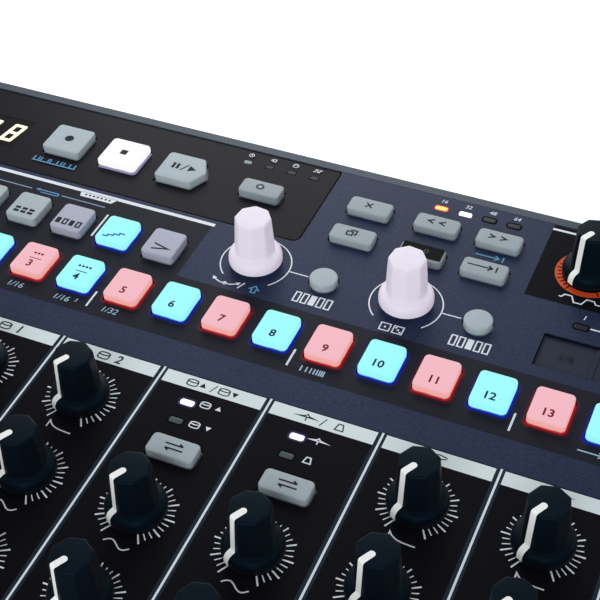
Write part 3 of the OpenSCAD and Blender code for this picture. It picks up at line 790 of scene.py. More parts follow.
def wave(width: float, height: float, cycles: float = 1.0, steps: int = 16) -> tuple[Point, ...]:
    """Points of a sine wave round the middle."""
    return tuple((width * (k / steps - 0.5), height / 2 * math.sin(2 * math.pi * cycles * k / steps))
                 for k in range(steps + 1))


def frame_of(x: float, y: float, width: float, depth: float) -> tuple[Point, ...]:
    """A rectangle's outline, closed."""
    corners = box_corners(x, y, width, depth)
    return *corners, corners[0]


def chevron(x: float, side: int) -> tuple[Point, ...]:
    """A thick arrow tip at x that opens towards one side."""
    arm, thick_tip, thick_end = 2.1, 1.2, 0.42
    return ((x, 0), (x + side * arm, 1), (x + side * arm, 1 - thick_end), (x + side * thick_tip, 0),
            (x + side * arm, thick_end - 1), (x + side * arm, -1))


def bend(x: float, y: float, radius: float, start: float, end: float) -> tuple[Point, ...]:
    """Points along an arc, fine enough for a sign."""
    return tuple(arc(x, y, radius, start, end, max(4, round(abs(end - start) / 20))))


@dataclass(frozen=True)
class Drawing:
    """A sign's strokes and filled areas, in a box two units high round the middle."""

    strokes: tuple[tuple[Point, ...], ...] = ()
    fills: tuple[tuple[Point, ...], ...] = ()


class Sign(Enum):
    """The signs that stand on the panel and the keys."""

    DOT = Drawing(fills=(bend(0, 0, 1, 0, 340),))
    SQUARE = Drawing(fills=(tuple(box_corners(0, 0, 2, 2)),))
    PAUSE_PLAY = Drawing((), (
        tuple(box_corners(-3, 0, 0.75, 2.1)), tuple(box_corners(-1.8, 0, 0.75, 2.1)),
        ((1.2, -1.1), (3.3, 0), (1.2, 1.1)), ((-0.9, -1.3), (-0.5, -1.3), (0.9, 1.3), (0.5, 1.3))))
    SYNC = Drawing((bend(0, 0, 0.9, 20, 165), bend(0, 0, 0.9, 200, 345)), (
        ((-1.35, 0.25), (-0.45, 0.25), (-0.9, -0.35)), ((1.35, -0.25), (0.45, -0.25), (0.9, 0.35))))
    CROSS = Drawing((((-0.9, -0.9), (0.9, 0.9)), ((-0.9, 0.9), (0.9, -0.9))))
    COPY = Drawing((frame_of(-0.5, -0.3, 1.5, 1.4),
                    ((-0.4, 0.8), (-0.4, 1), (1.2, 1), (1.2, -0.5), (0.6, -0.5))))
    BACK = Drawing(fills=(chevron(-2.6, 1), chevron(0.4, 1)))
    FORWARD = Drawing(fills=(chevron(-0.4, -1), chevron(2.6, -1)))
    LAST = Drawing((((-4.1, 0), (2, 0)), ((1.2, 0.9), (2.3, 0), (1.2, -0.9)), ((3.4, 1), (3.4, -1))))
    SHIFT = Drawing((((0, 1), (1, 0), (0.45, 0), (0.45, -1), (-0.45, -1), (-0.45, 0), (-1, 0), (0, 1)),))
    SONG = Drawing((((-2.2, 0), (2.2, 0)),), tuple(bend(x, 0, 0.6, 0, 340) for x in (-2.2, 0, 2.2)))
    BANK = Drawing(fills=tuple(tuple(box_corners(x, y, 1.3, 0.75))
                               for x in (-1.8, 0, 1.8) for y in (-0.55, 0.55)))
    PATTERN = Drawing(tuple(frame_of(x, 0, 0.9, 1.6) for x in (-0.85, 2.55)),
                      tuple(tuple(box_corners(x, 0, 1.1, 1.8)) for x in (-2.55, 0.85)))
    STEPS = Drawing((((-2.4, -0.9), (-1.2, -0.9), (-1.2, -0.3), (0, -0.3), (0, 0.3), (1.2, 0.3), (1.2, 0.9),
                      (2.4, 0.9)),))
    ACCENT = Drawing((((-1.8, 1), (1.8, 0.1), (-1.8, -0.8)),))
    TOGGLE = Drawing((((-1.9, 0.5), (1.5, 0.5)), ((0.8, 1), (1.6, 0.5)), ((1.9, -0.5), (-1.5, -0.5)),
                      ((-0.8, -1), (-1.6, -0.5))))
    UNDO = Drawing((((-3.6, 0.3), (4.2, 0.3)), bend(4.2, -0.3, 0.6, 90, -90), ((4.2, -0.9), (-2.4, -0.9))),
                   (((-3.2, 1), (-4.9, 0.3), (-3.2, -0.4)),))
    OFF_GRID = Drawing((((-7, -0.9), (7, -0.9)), *(((x, -0.9), (x, 0.9)) for x in
                                                   (-6.6, -5.1, -4.3, -2, -1.3, 0.9, 2.2, 3.1, 5, 6.6))))
    SWING = Drawing((bend(0, 5.2, 6.1, 238, 302),), (
        bend(0, -0.7, 0.6, 0, 340), ((-4.1, 0.9), (-3.7, -0.4), (-2.7, 0.5)),
        ((4.1, 0.9), (2.7, 0.5), (3.7, -0.4))))
    TRACK = Drawing(tuple(frame_of(x, 0, 0.75, 1.9) for x in (-2.4, -1.2, 1.2, 2.4)),
                    (tuple(box_corners(0, 0, 0.9, 2)),))
    DICE = Drawing((frame_of(-1.3, 0, 1.9, 1.9), frame_of(1.3, 0, 1.9, 1.9)), tuple(
        bend(x, y, 0.24, 0, 315) for x, y in ((-1.3, 0), (0.8, 0.5), (1.3, 0), (1.8, -0.5))))
    ROLL = Drawing(tuple(((x, -0.9), (x, 0.9)) for x in (-3.4, -2, -0.9, 0, 0.75, 1.4, 1.95, 2.45)))
    CLIP = Drawing((((-4.6, 0), (-4, 0), (-3.5, 0.9), (-1.9, 0.9), (-1.1, -0.9), (0.6, -0.9), (1.4, 0.9),
                     (3, 0.9), (3.6, 0), (4.6, 0)),))
    DECAY = Drawing((((-3.3, -1), (-3.3, 1), *((-3.3 + 0.8 * k, 2 * 0.55 ** k - 1) for k in range(1, 9))),))
    TONE = Drawing((wave(6.4, 1.8),))
    LEVEL = Drawing(fills=(((-3.2, -0.9), (3.2, -0.9), (3.2, 0.9)),))
    METRONOME = Drawing((((-0.9, -1), (-0.4, 1), (0.4, 1), (0.9, -1), (-0.9, -1)), ((0, -0.8), (0.9, 0.7))))
    CLOCK = Drawing((bend(0, 0, 0.9, 0, 360), ((0, 0.6), (0, 0), (0.5, 0))))
    PLUG = Drawing((frame_of(0.5, 0, 1.4, 1.6), ((-1.4, 0.4), (-0.2, 0.4)), ((-1.4, -0.4), (-0.2, -0.4))))
    DIN = Drawing((bend(0, 0, 0.95, 0, 360),), tuple(bend(*arc(0, 0, 0.5, a, a, 1)[0], 0.15, 0, 300)
                                                     for a in (0, 60, 120, 180)))
    PULSES = Drawing((((-2, -0.8), (-1.2, -0.8), (-1.2, 0.8), (-0.2, 0.8), (-0.2, -0.8), (0.8, -0.8),
                       (0.8, 0.8), (1.8, 0.8)),))
    KICK = Drawing((bend(0, 0, 0.95, 0, 360), bend(0, 0, 0.35, 0, 360)))
    DRUM = Drawing((tuple((1.3 * px, 0.45 * py + 0.5) for px, py in bend(0, 0, 1, 0, 360)),
                    ((-1.3, 0.5), (-1.3, -0.6),
                     *((1.3 * px, 0.4 * py - 0.6) for px, py in bend(0, 0, 1, 180, 360)), (1.3, 0.5))))
    CYMBAL = Drawing((((-1.9, 0.1), (-0.5, 0.4), (0, 0.95), (0.5, 0.4), (1.9, 0.1), (-1.9, 0.1)),
                      ((0, 0.1), (0, -1))))
    BELL = Drawing((((-0.55, 0.9), (0.55, 0.9), (1, -0.9), (-1, -0.9), (-0.55, 0.9)),))
    HAT = Drawing((((-1.8, 0.55), (0, 0.95), (1.8, 0.55)), ((-1.8, 0.15), (0, -0.25), (1.8, 0.15)),
                   ((0, -0.25), (0, -1))))
    UP = Drawing(fills=(((-0.8, -0.6), (0.8, -0.6), (0, 0.8)),))
    DOWN = Drawing(fills=(((-0.8, 0.6), (0, -0.8), (0.8, 0.6)),))
    SLASH = Drawing((((-0.5, -1.1), (0.5, 1.1)),))


def fit(piece: bpy.types.Object, slot: str, body: str = Body.ROOT.value, *replaced: str) -> bpy.types.Object:
    """Hang a piece on its body and hide the CAD nodes that it stands for.

    Args:
        piece: The piece.
        slot: The record's material slot; not used.
        body: Name of the body.
        *replaced: Names of the nodes.

    Returns:
        The piece.
    """
    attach(piece, body)
    if replaced:
        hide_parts(*replaced)
    LOG.info("%s rides on %s, with %d points", piece.name, body, len(piece.data.vertices))
    return piece


@dataclass(frozen=True)
class SoftBox:
    """A square lamp that points at the panel.

    Attributes:
        name: Its name.
        place: Its middle, in metres.
        size: Its side, in metres.
        power: Its power, in watts.
    """

    name: str
    place: tuple[float, float, float]
    size: float
    power: float


@dataclass
class Studio:
    """The pale floor, the soft light and the camera.

    Attributes:
        soft_boxes: The lamps.
        fill: Brightness of the surround.
        fill_colour: Its colour, as far as it lights.
        white: What the camera sees of it, and the colour of the paper's glow.
        paper_colour: Colour of the floor.
        paper_glow: How much the floor is brightened for the camera.
        aim: The point in the middle of the picture, in the panel frame.
        distance: The camera's distance from it, in millimetres.
        azimuth: The camera's direction, in degrees from the front.
        elevation: Its height above the horizon, in degrees.
        roll: Its turn round its own axis, in degrees.
        lens: Its focal length for a picture 36 mm wide.
        floor_half: Half the floor's side, in metres.
    """

    soft_boxes: tuple[SoftBox, ...] = (SoftBox("soft_box_back", (-0.17, 0.46, 0.33), 0.35, 1.7),
                                       SoftBox("soft_box_front", (0.2, -1.3, 0.6), 1.2, 15.0))
    fill: float = 0.45
    fill_colour: str = "#f2f3f8"
    white: str = "#ffffff"
    paper_colour: str = "#eceef0"
    paper_glow: float = 0.45
    aim: Point = (145.35, 21.16)
    distance: float = 445.75
    azimuth: float = 23.755
    elevation: float = 40.786
    roll: float = -0.4565
    lens: float = 81.535
    floor_half: float = 6.0

    def build(self) -> None:
        """Set up the view, the world, the lamps and the floor."""
        bpy.context.scene.view_settings.view_transform = "Standard"
        self.camera()
        self.world()
        self.lamps()
        self.floor()

    def target(self) -> Vector:
        """The point on the panel that camera and lamps face."""
        return PANEL @ Vector((*self.aim, 0))

    def camera(self) -> None:
        """Put the camera on its sphere round the aim point."""
        azimuth, elevation = math.radians(self.azimuth), math.radians(self.elevation)
        away = Vector((math.sin(azimuth) * math.cos(elevation), -math.cos(azimuth) * math.cos(elevation),
                       math.sin(elevation)))
        data = bpy.data.cameras.new("camera")
        data.lens, data.sensor_width, data.clip_start, data.clip_end = self.lens, 36, 0.01, 100
        camera = bpy.data.objects.new("camera", data)
        turn = away.to_track_quat("Z", "Y").to_matrix() @ Matrix.Rotation(math.radians(self.roll), 3, "Z")
        camera.matrix_world = Matrix.Translation(self.target() + away * self.distance * MM) @ turn.to_4x4()
        bpy.context.scene.collection.objects.link(camera)
        bpy.context.scene.camera = camera

    def world(self) -> None:
        """Light the scene with a plain pale surround that the camera sees as white."""
        world = bpy.data.worlds.new("studio")
        world.use_nodes = True
        tree = world.node_tree
        tree.nodes.clear()
        seen = self.seen(tree)
        fill = add_node(tree, "ShaderNodeBackground", {
            "Color": linear(self.fill_colour), "Strength": self.fill})
        white = add_node(tree, "ShaderNodeBackground", {"Color": linear(self.white), "Strength": 1.0})
        mixed = add_node(tree, "ShaderNodeMixShader", {0: seen, 1: fill.outputs[0], 2: white.outputs[0]})
        add_node(tree, "ShaderNodeOutputWorld", {"Surface": mixed.outputs[0]})
        bpy.context.scene.world = world

    def seen(self, tree: bpy.types.NodeTree) -> bpy.types.NodeSocket:
        """Tell the rays that show a surface, straight, mirrored or through glass, from those that light.

        Args:
            tree: The node tree that asks.

        Returns:
            1 for a ray that shows it, else 0.
        """
        path = add_node(tree, "ShaderNodeLightPath")
        mirrored = add_node(tree, "ShaderNodeMath", {
            0: path.outputs["Is Camera Ray"], 1: path.outputs["Is Glossy Ray"]}, operation="MAXIMUM")
        return add_node(tree, "ShaderNodeMath", {
            0: mirrored.outputs[0], 1: path.outputs["Is Transmission Ray"]}, operation="MAXIMUM").outputs[0]

    def lamps(self) -> None:
        """Hang a soft box close behind the left, and a broad one in front for the walls of keys and knobs."""
        for box in self.soft_boxes:
            data = bpy.data.lights.new(box.name, "AREA")
            data.size, data.energy = box.size, box.power
            lamp = bpy.data.objects.new(box.name, data)
            lamp.location = box.place
            lamp.rotation_euler = (Vector(box.place) - self.target()).to_track_quat("Z", "Y").to_euler()
            bpy.context.scene.collection.objects.link(lamp)

    def floor(self) -> None:
        """Lay a white floor that keeps the object's shadow."""
        shape = Shape()
        half = self.floor_half / MM
        shape.add([(-half, -half, 0), (half, -half, 0), (half, half, 0), (-half, half, 0)], [(0, 1, 2, 3)])
        floor = shape.make("studio_floor", WHITE_INK, ROW)
        paper = bpy.data.materials.new("paper_roll")
        paper.use_nodes = True
        tree = paper.node_tree
        tree.nodes.clear()
        seen = self.seen(tree)
        matt = add_node(tree, "ShaderNodeBsdfDiffuse", {"Color": linear(self.paper_colour)})
        glow = add_node(tree, "ShaderNodeEmission", {
            "Color": linear(self.white), "Strength": self.paper_glow})
        both = add_node(tree, "ShaderNodeAddShader", {0: matt.outputs[0], 1: glow.outputs[0]})
        mixed = add_node(tree, "ShaderNodeMixShader", {0: seen, 1: matt.outputs[0], 2: both.outputs[0]})
        add_node(tree, "ShaderNodeOutputMaterial", {"Surface": mixed.outputs[0]})
        floor.data.materials.clear()
        floor.data.materials.append(paper)


# A section of a knob: its height, distance of its flats from the axis, corner rounding, and roundness
Section = tuple[float, float, float, float]
# Half the angle between two flats of an eight-sided grip, in degrees
HALF_FLAT = 22.5


@dataclass
class Knob:
    """One push-on knob: an eight-sided tapered grip that swells into a round skirt.

    Attributes:
        height: Height of the top above the panel.
        skirt_r: Radius of the skirt.
        grip_foot: Distance of the grip's flats from the axis at its foot.
        grip_top: The same at its top.
        corner_foot: Rounding of the grip's corners at its foot.
        corner_top: The same at its top.
        flat_angle: Direction of one of the flats, in degrees.
        pointer_angle: Direction of the painted pointer, in degrees.
        pointer_w: Its width.
        pointer_start: Distance of its round inner end from the axis.
    """

    height: float = 19.2
    skirt_r: float = 9.1
    grip_foot: float = 6.55
    grip_top: float = 5.75
    corner_foot: float = 2.4
    corner_top: float = 0.9
    flat_angle: float = -120.0
    pointer_angle: float = -120.0
    pointer_w: float = 2.1
    pointer_start: float = 1.1

    def stations(self) -> list[Section]:
        """List every section, from the shaft through the hollow foot and up to the top.

        Returns:
            The sections.
        """
        shaft = [(-7.0, 3.0, 3.0, 1.0), (2.3, 3.0, 3.0, 1.0)]
        hollow = [(2.3, 6.2, 6.2, 1.0), (0.8, 6.2, 6.2, 1.0)]
        cap = [(self.height, 1.0, 0.8, 1.0)]
        return shaft + hollow + self.skirt() + self.grip() + cap

    def skirt(self) -> list[Section]:
        """Shape the skirt: a sharp foot, a straight wall and a shoulder that curves in to the grip.

        Returns:
            Its sections.
        """
        wall_top, rise, reach = 2.5, 2.6, 2.1
        sections = [(0.8, 8.8, 8, 1.0), (0.9, 9.0, 8, 1.0), (1.15, 9.08, 8, 1.0)]
        for k in range(9):
            angle = math.radians(10 * k)
            sections.append((wall_top + rise * math.sin(angle), self.skirt_r - reach * (1 - math.cos(angle)),
                             8, 1.0))
        return sections

    def grip(self) -> list[Section]:
        """Shape the eight-sided grip, with a small round edge at its top.

        Returns:
            Its sections.
        """
        foot_z, edge, foot_roundness, blend = 5.4, 0.7, 0.35, 1.6
        sections = []
        for k in range(9):
            t = k / 8
            sections.append((
                foot_z + (self.height - edge - foot_z) * t,
                self.grip_foot + (self.grip_top - self.grip_foot) * t,
                self.corner_foot + (self.corner_top - self.corner_foot) * min(1, blend * t),
                max(0, foot_roundness - blend * t)))
        return sections + [(self.height - drop, self.grip_top - inset, self.corner_top, 0.0)
                           for drop, inset in round_edge(edge)]

    def radius(self, angle: float, flat: float, corner: float, roundness: float) -> float:
        """Distance of a section's edge from the axis.

        Args:
            angle: Direction, in degrees.
            flat: Distance of the flats.
            corner: Rounding of the corners.
            roundness: 0 for the eight-sided section, 1 for a circle.

        Returns:
            The distance.
        """
        half_turn = math.radians(HALF_FLAT)
        off = abs((angle - self.flat_angle + HALF_FLAT) % (2 * HALF_FLAT) - HALF_FLAT)
        corner = min(corner, flat * 0.98)
        touch = math.atan((flat - corner) * math.tan(half_turn) / flat)
        if math.radians(off) <= touch:
            eight = flat / math.cos(math.radians(off))
        else:
            reach = (flat - corner) / math.cos(half_turn)
            delta = half_turn - math.radians(off)
            eight = reach * math.cos(delta) + math.sqrt(corner ** 2 - (reach * math.sin(delta)) ** 2)
        return eight + (flat - eight) * roundness

    def shell(self, steps: int = 96) -> Shape:
        """Skin the knob round its own axis.

        Args:
            steps: Number of points round it.

        Returns:
            The skin.
        """
        angles = [360 / steps * i for i in range(steps)]
        rings = []
        for z, *section in self.stations():
            radii = [self.radius(a, *section) for a in angles]
            rings.append([(r * math.cos(math.radians(a)), r * math.sin(math.radians(a)), z)
                          for a, r in zip(angles, radii)])
        shape = Shape()
        shape.loft(rings)
        return shape

    def pointer(self) -> Shape:
        """Paint the line from a round end near the middle of the top, over the edge and down the skirt.

        Returns:
            The line.
        """
        paint, foot_z, half = 0.05, 2, self.pointer_w / 2
        line = [(z, self.radius(self.pointer_angle, *section) + paint, half)
                for z, *section in self.skirt()[2:] + self.grip()]
        for k in range(1, 7):
            angle = math.radians(15 * k)
            line.append((self.height, self.pointer_start + half * (1 - math.sin(angle)),
                         half * math.cos(angle)))
        turn = Matrix.Rotation(math.radians(self.pointer_angle), 3, "Z")
        shape = Shape()
        shape.loft([[turn @ Vector((reach, side * width, z + (paint if z > foot_z else 0)))
                     for side in (-1, 0, 1)] for z, reach, width in line], strip=True)
        return shape


@dataclass
class KnobSet:
    """All the knobs, each on its own body and shaft.

    Attributes:
        white: Nodes of the white knobs.
        lone: Nodes of the dark knobs at the top of the panel.
        lift: How much higher the white knobs stand than the dark ones.
        sharp: Angle from which an edge of a knob stays sharp, in degrees.
    """

    white: tuple[str, ...] = ("tempo_knob", "swing_knob", "random_knob")
    lone: tuple[str, ...] = ("distortion_knob", "volume_knob")
    lift: float = 0.9
    sharp: float = 24.0

    def track_knobs(self) -> dict[str, str]:
        """Row of each instrument knob, by node."""
        return {f"track{track}_knob_{row}": row for track in TRACKS for row in "abc"
                if row != "a" or track not in TWO_SOUND_TRACKS}

    def shaft(self, node: str) -> Point:
        """Place of a knob's shaft in the panel frame, from its joint."""
        joint = next(j for j in frame["joints"] if j["child"] == node)
        place = PANEL.inverted() @ Vector(joint["pos_m"])
        return place.x, place.y

    def build(self) -> None:
        """Make every knob from two shared shells and one pointer."""
        dark = Knob()
        white = Knob(flat_angle=dark.flat_angle + HALF_FLAT)
        white_shell = white.shell().make("white_shell", WHITE_KNOB, ROW, self.sharp)
        dark_shell = dark.shell().make("dark_shell", DARK_KNOB, ROW, self.sharp)
        pointer = dark.pointer().make("pointer", POINTER_PAINT, ROW, self.sharp)
        for node in self.white:
            fit(self.copy(white_shell, f"{node}_grip", self.shaft(node), self.lift), "white_knob", node, node)
        for node in (*self.lone, *self.track_knobs()):
            fit(self.copy(dark_shell, f"{node}_grip", self.shaft(node)), "dark_knob", node, node)
            fit(self.copy(pointer, f"{node}_pointer", self.shaft(node)), "dark_knob", node)
        for original in (white_shell, dark_shell, pointer):
            bpy.data.objects.remove(original)

    def copy(self, original: bpy.types.Object, name: str, place: Point,
             lift: float = 0.0) -> bpy.types.Object:
        """Put a copy that shares the original's mesh on a shaft.

        Args:
            original: The piece to copy.
            name: The copy's name.
            place: The shaft's place in the panel frame.
            lift: How far the copy is raised.

        Returns:
            The copy.
        """
        piece = bpy.data.objects.new(name, original.data)
        turn = PANEL.to_3x3().normalized().to_4x4()
        piece.matrix_world = Matrix.Translation(PANEL @ Vector((*place, lift))) @ turn
        bpy.context.scene.collection.objects.link(piece)
        return piece


class KeySize(Enum):
    """Width, depth and height of each kind of key."""

    STEP = (12.0, 13.9, 3.1)
    MODE = (12.0, 13.0, 3.1)
    TRANSPORT = (15.4, 14.5, 2.6)
    SMALL = (15.6, 7.6, 2.6)
    TEMPO = (13.0, 7.6, 2.6)


@dataclass
class KeyCap:
    """A silicone key: a waist in the panel's hole, straight walls, a round edge and a barely crowned face.

    Attributes:
        corners: The key's corners in the panel frame.
        height: Height of its face above the panel.
        finish: Its finish.
        radius: Radius of its corners.
        edge: Radius of the top edge.
        crown: How far the middle of the face stands above its edge.
        waist: How far the walls step in where they pass the panel.
    """

    corners: list[Point]
    height: float
    finish: Finish
    radius: float = 1.6
    edge: float = 0.55
    crown: float = 0.1
    waist: float = 0.3

    def shell(self) -> Shape:
        """Skin the key's walls and face, and the web under the panel.

        Returns:
            The skin.
        """
        # Each section's height, how far it stands in from the key's sides, and how deep in the light it is
        rim, least_radius = self.height - self.crown, 0.5
        stations = [(WEB_TOP - WEB_T, -WEB_RIM, 0.0), (WEB_TOP, -WEB_RIM, 0.0), (WEB_TOP, self.waist, 0.0),
                    (-0.1, self.waist, 0.04), (0.2, 0.0, 0.1), (rim - self.edge, 0.0, 0.3)]
        stations += [(rim - drop, inset, 0.3 + 0.06 * k) for k, (drop, inset) in
                     enumerate(round_edge(self.edge), 1)]
        stations += [(self.height - self.crown * (1 - rise), inset, lit)
                     for inset, rise, lit in ((1.2, 0.35, 0.85), (2.2, 0.8, 1.0), (3.2, 1.0, 1.0))]
        rings = []
        for z, inset, _ in stations:
            radius = max(least_radius, self.radius - inset) if inset > 0 else self.radius
            rings.append(at_height(z, outline(self.corners, inset, radius, 5)))
        shape = Shape()
        shape.loft(rings, [lit for _, _, lit in stations])
        return shape


@dataclass
class KeyGroup:
    """Keys that one CAD node stands for, with their marks.

    Attributes:
        node: The node, and the body that it rides on.
        slot: The record's material slot.
        keys: The keys.
    """

    node: str
    slot: str
    keys: list[KeyCap]

    def build(self) -> None:
        """Make one piece for each key; the first one also stands for the node."""
        for n, key in enumerate(self.keys, 1):
            name = self.node if len(self.keys) == 1 else f"{self.node}_{n}"
            fit(key.shell().make(f"{name}_cap", key.finish), self.slot, self.node,
                *((self.node,) if n == 1 else ()))

    def marks(self) -> Print:
        """A sheet for marks on the keys' faces."""
        return Print(z=self.keys[0].height + INK_Z)

    def mark(self, sheet: Print, kind: str, finish: Finish) -> None:
        """Put a sheet of marks on the keys."""
        fit(sheet.make(f"{self.node}_{kind}", finish), self.slot, self.node)


@dataclass
class Keyboard:
    """Every key of the panel, with its marks. Places are in the panel frame.

    Attributes:
        step_count: Number of step keys.
        mat: Number of step keys on one mat.
        mode_finishes: Finishes of the mode keys, from the left.
        lit_mode: Number of the mode key that is lit, from 1.
        step_y: Middle of the step keys.
        mode_y: Middle of the mode keys.
        step_margin: How far the step keys stand right of their grid.
        mode_shift: How far the mode keys stand right of the step keys.
        transport_y: Middle of the three big keys.
        record_x: Middle of the record key.
        stop_x: Middle of the stop key.
        play_x: Middle of the play key.
        play_point: Length of its point.
        play_w: Its width.
        type_y: Middle of the keys that switch between two sounds.
        tempo_at: The left column's keys: distance from its middle line, middle of the first row, pitch.
        number_drop: How far the numbers and signs stand in front of the keys' middle.
        round_at: Middles of the round keys.
        round_r: Their radius.
    """

    step_count: int = 16
    mat: int = 4
    # the keys beside the lit one carry a painted lilac cast of its blue light
    mode_finishes: tuple[Finish, ...] = (KEY_SILICONE, KEY_SILICONE, KEY_PAINTED_LILAC, CYAN_KEY, KEY_PAINTED_LILAC)
    lit_mode: int = 4
    step_y: float = 4.2
    mode_y: float = 27.2
    step_margin: float = 0.6
    mode_shift: float = 1.6
    transport_y: float = 66.8
    record_x: float = column_x(1.123)
    stop_x: float = column_x(1.767)
    play_x: float = column_x(2.448)
    play_point: float = 3.5
    play_w: float = 17.9
    type_y: float = -52.1
    tempo_at: tuple[float, float, float] = (8.6, -36.0, 18.0)
    number_drop: float = 2.9
    round_at: tuple[Point, ...] = ((149.4, 31.7), (202.9, 31.7))
    round_r: float = 4.75

    def step_x(self, n: int) -> float:
        """Middle of step key n."""
        return n * STEP_PITCH + self.step_margin

    def mode_x(self, n: int) -> float:
        """Middle of mode key n, from 1."""
        return self.step_x(n) + self.mode_shift

    def play_corners(self) -> list[Point]:
        """Find the corners of the pointed play key.

        Returns:
            The corners, counter-clockwise.
        """
        half_w, half_d = self.play_w / 2, KeySize.TRANSPORT.value[1] / 2
        x, y, neck = self.play_x, self.transport_y, self.play_point
        return [(x - half_w, y - half_d), (x + half_w - neck, y - half_d), (x + half_w, y),
                (x + half_w - neck, y + half_d), (x - half_w, y + half_d)]

    def key(self, size: KeySize, x: float, y: float, finish: Finish = KEY_SILICONE) -> KeyCap:
        """A key of a usual size round a point."""
        width, depth, height = size.value
        return KeyCap(box_corners(x, y, width, depth), height, finish)

    def build(self) -> None:
        """Make the keys and their marks."""
        for first in range(1, self.step_count, self.mat):
            self.step_keys(range(first, first + self.mat))
        self.mode_keys()
        self.transport_keys()
        self.edit_keys()
        self.type_keys()
        self.tempo_keys()
        self.round_keys()

    def step_keys(self, numbers: range) -> None:
        """Make one mat of step keys; the odd ones are lit pink and the even ones cyan.

        Args:
            numbers: The keys' numbers.
        """
        group = KeyGroup(f"step_keys_{numbers[0]}_{numbers[-1]}", "step_silicone",
                         [self.key(KeySize.STEP, self.step_x(n), self.step_y, PINK_KEY if n % 2 else CYAN_KEY)
                          for n in numbers])
        group.build()
        bars, bar_shift, bar_half, dot_pitch, dot_y = 4, 0.7, 2.2, 1.35, 2.2
        for kind, finish, rest in (("red_marks", RED_LEGEND, 1), ("blue_marks", BLUE_LEGEND, 0)):
            sheet = group.marks()
            for n in (n for n in numbers if n % 2 == rest):
                x, y = self.step_x(n), self.step_y
                sheet.number(str(n), x, y - self.number_drop, 2.95, 0.0, 0.11)
                if n <= bars:
                    x += bar_shift
                    sheet.rect(x - bar_half, y - 0.5, x + bar_half, y - 0.15)
                    for k in range(n):
                        sheet.disc(x + (k - (n - 1) / 2) * dot_pitch, y + dot_y, 0.5)
            group.mark(sheet, kind, finish)

    def mode_keys(self) -> None:
        """Make the mode keys, one of them lit."""
        group = KeyGroup("mode_keys", "grey_silicone",
                         [self.key(KeySize.MODE, self.mode_x(n), self.mode_y, finish)
                          for n, finish in enumerate(self.mode_finishes, 1)])
        group.build()
        dark, blue = group.marks(), group.marks()
        for n, sign in enumerate((Sign.SONG, Sign.BANK, Sign.PATTERN, Sign.STEPS, Sign.ACCENT), 1):
            sheet = blue if n == self.lit_mode else dark
            sheet.sign(sign, self.mode_x(n), self.mode_y - self.number_drop, 3.1, 0.62)
        group.mark(dark, "marks", DARK_LEGEND)
        group.mark(blue, "blue_marks", MODE_LEGEND)

    def transport_keys(self) -> None:
        """Make the record, stop and play keys."""
        y, height = self.transport_y, KeySize.TRANSPORT.value[2]
        record = self.key(KeySize.TRANSPORT, self.record_x, y)
        stop = self.key(KeySize.TRANSPORT, self.stop_x, y, WHITE_KEY)
        play = KeyCap(self.play_corners(), height, KEY_SILICONE)
        for node, cap, slot, sign, x, size in (
                ("record_key", record, "grey_silicone", Sign.DOT, 31.6, 3.5),
                ("stop_key", stop, "lit_silicone", Sign.SQUARE, 54.9, 2.6),
                ("play_key", play, "grey_silicone", Sign.PAUSE_PLAY, 79.9, 2.9)):
            group = KeyGroup(node, slot, [cap])
            group.build()
            sheet = group.marks()
            sheet.sign(sign, x, y + 0.1, size, 0.3)
            group.mark(sheet, "mark", DARK_LEGEND)

    def edit_keys(self) -> None:
        """Make six keys right of the middle and one by the play key; the shift key's face is black."""
        back_y, front_y = 71.2, 55.4
        places = ((Sign.CROSS, column_x(4.389), back_y), (Sign.COPY, column_x(4.382), front_y),
                  (Sign.BACK, column_x(5.065), back_y), (Sign.FORWARD, column_x(5.676), back_y),
                  (Sign.SHIFT, column_x(5.065), front_y), (Sign.LAST, column_x(5.669), front_y),
                  (Sign.SYNC, column_x(3.296), 66.6))
        # these small keys take a darker grey: painted shade, where the light falls off
        group = KeyGroup("edit_keys", "grey_silicone",
                         [self.key(KeySize.SMALL, x, y, SHADED_SMALL_KEY_SILICONE) for _, x, y in places])
        group.build()
        dark, black, grey = group.marks(), group.marks(), group.marks()
        grey.z += INK_LAYER
        width, depth, _ = KeySize.SMALL.value
        for sign, x, y in places:
            if sign is Sign.SHIFT:
                black.area(outline(box_corners(x, y + 0.35, width - 1.1, depth - 1.4), 0, 0.5, 4))
                grey.sign(sign, x + 1.4, y + 0.7, 1.8, 0.2)
            else:
                dark.sign(sign, x - 0.5, y + 0.3, 2.7, 0.58)
        group.mark(dark, "marks", DARK_LEGEND)
        group.mark(black, "black_face", BLACK_KEY)
        group.mark(grey, "grey_mark", GREY_LEGEND)

    def type_keys(self) -> None:
        """Make the keys that switch between an instrument's two sounds."""
        places = [(column_x(track), self.type_y) for track in TWO_SOUND_TRACKS]
        group = KeyGroup("type_keys", "grey_silicone", [self.key(KeySize.SMALL, x, y) for x, y in places])
        group.build()
        sheet = group.marks()
        for x, y in places:
            sheet.sign(Sign.TOGGLE, x + 0.4, y, 3.3, 0.55)
        group.mark(sheet, "marks", DARK_LEGEND)

    def tempo_keys(self) -> None:
        """Make the six keys of the left column."""
        aside, first_y, pitch = self.tempo_at
        places = [(column_x(0) + side * aside, first_y - row * pitch) for row in range(3) for side in (-1, 1)]
        group = KeyGroup("tempo_keys", "grey_silicone", [self.key(KeySize.TEMPO, x, y) for x, y in places])
        group.build()
        sheet = group.marks()
        for n, (x, y) in enumerate(places, 1):
            sheet.number(str(n), x, y + 0.5, 2.6, 0.0, 0.03)
        group.mark(sheet, "marks", DARK_LEGEND)

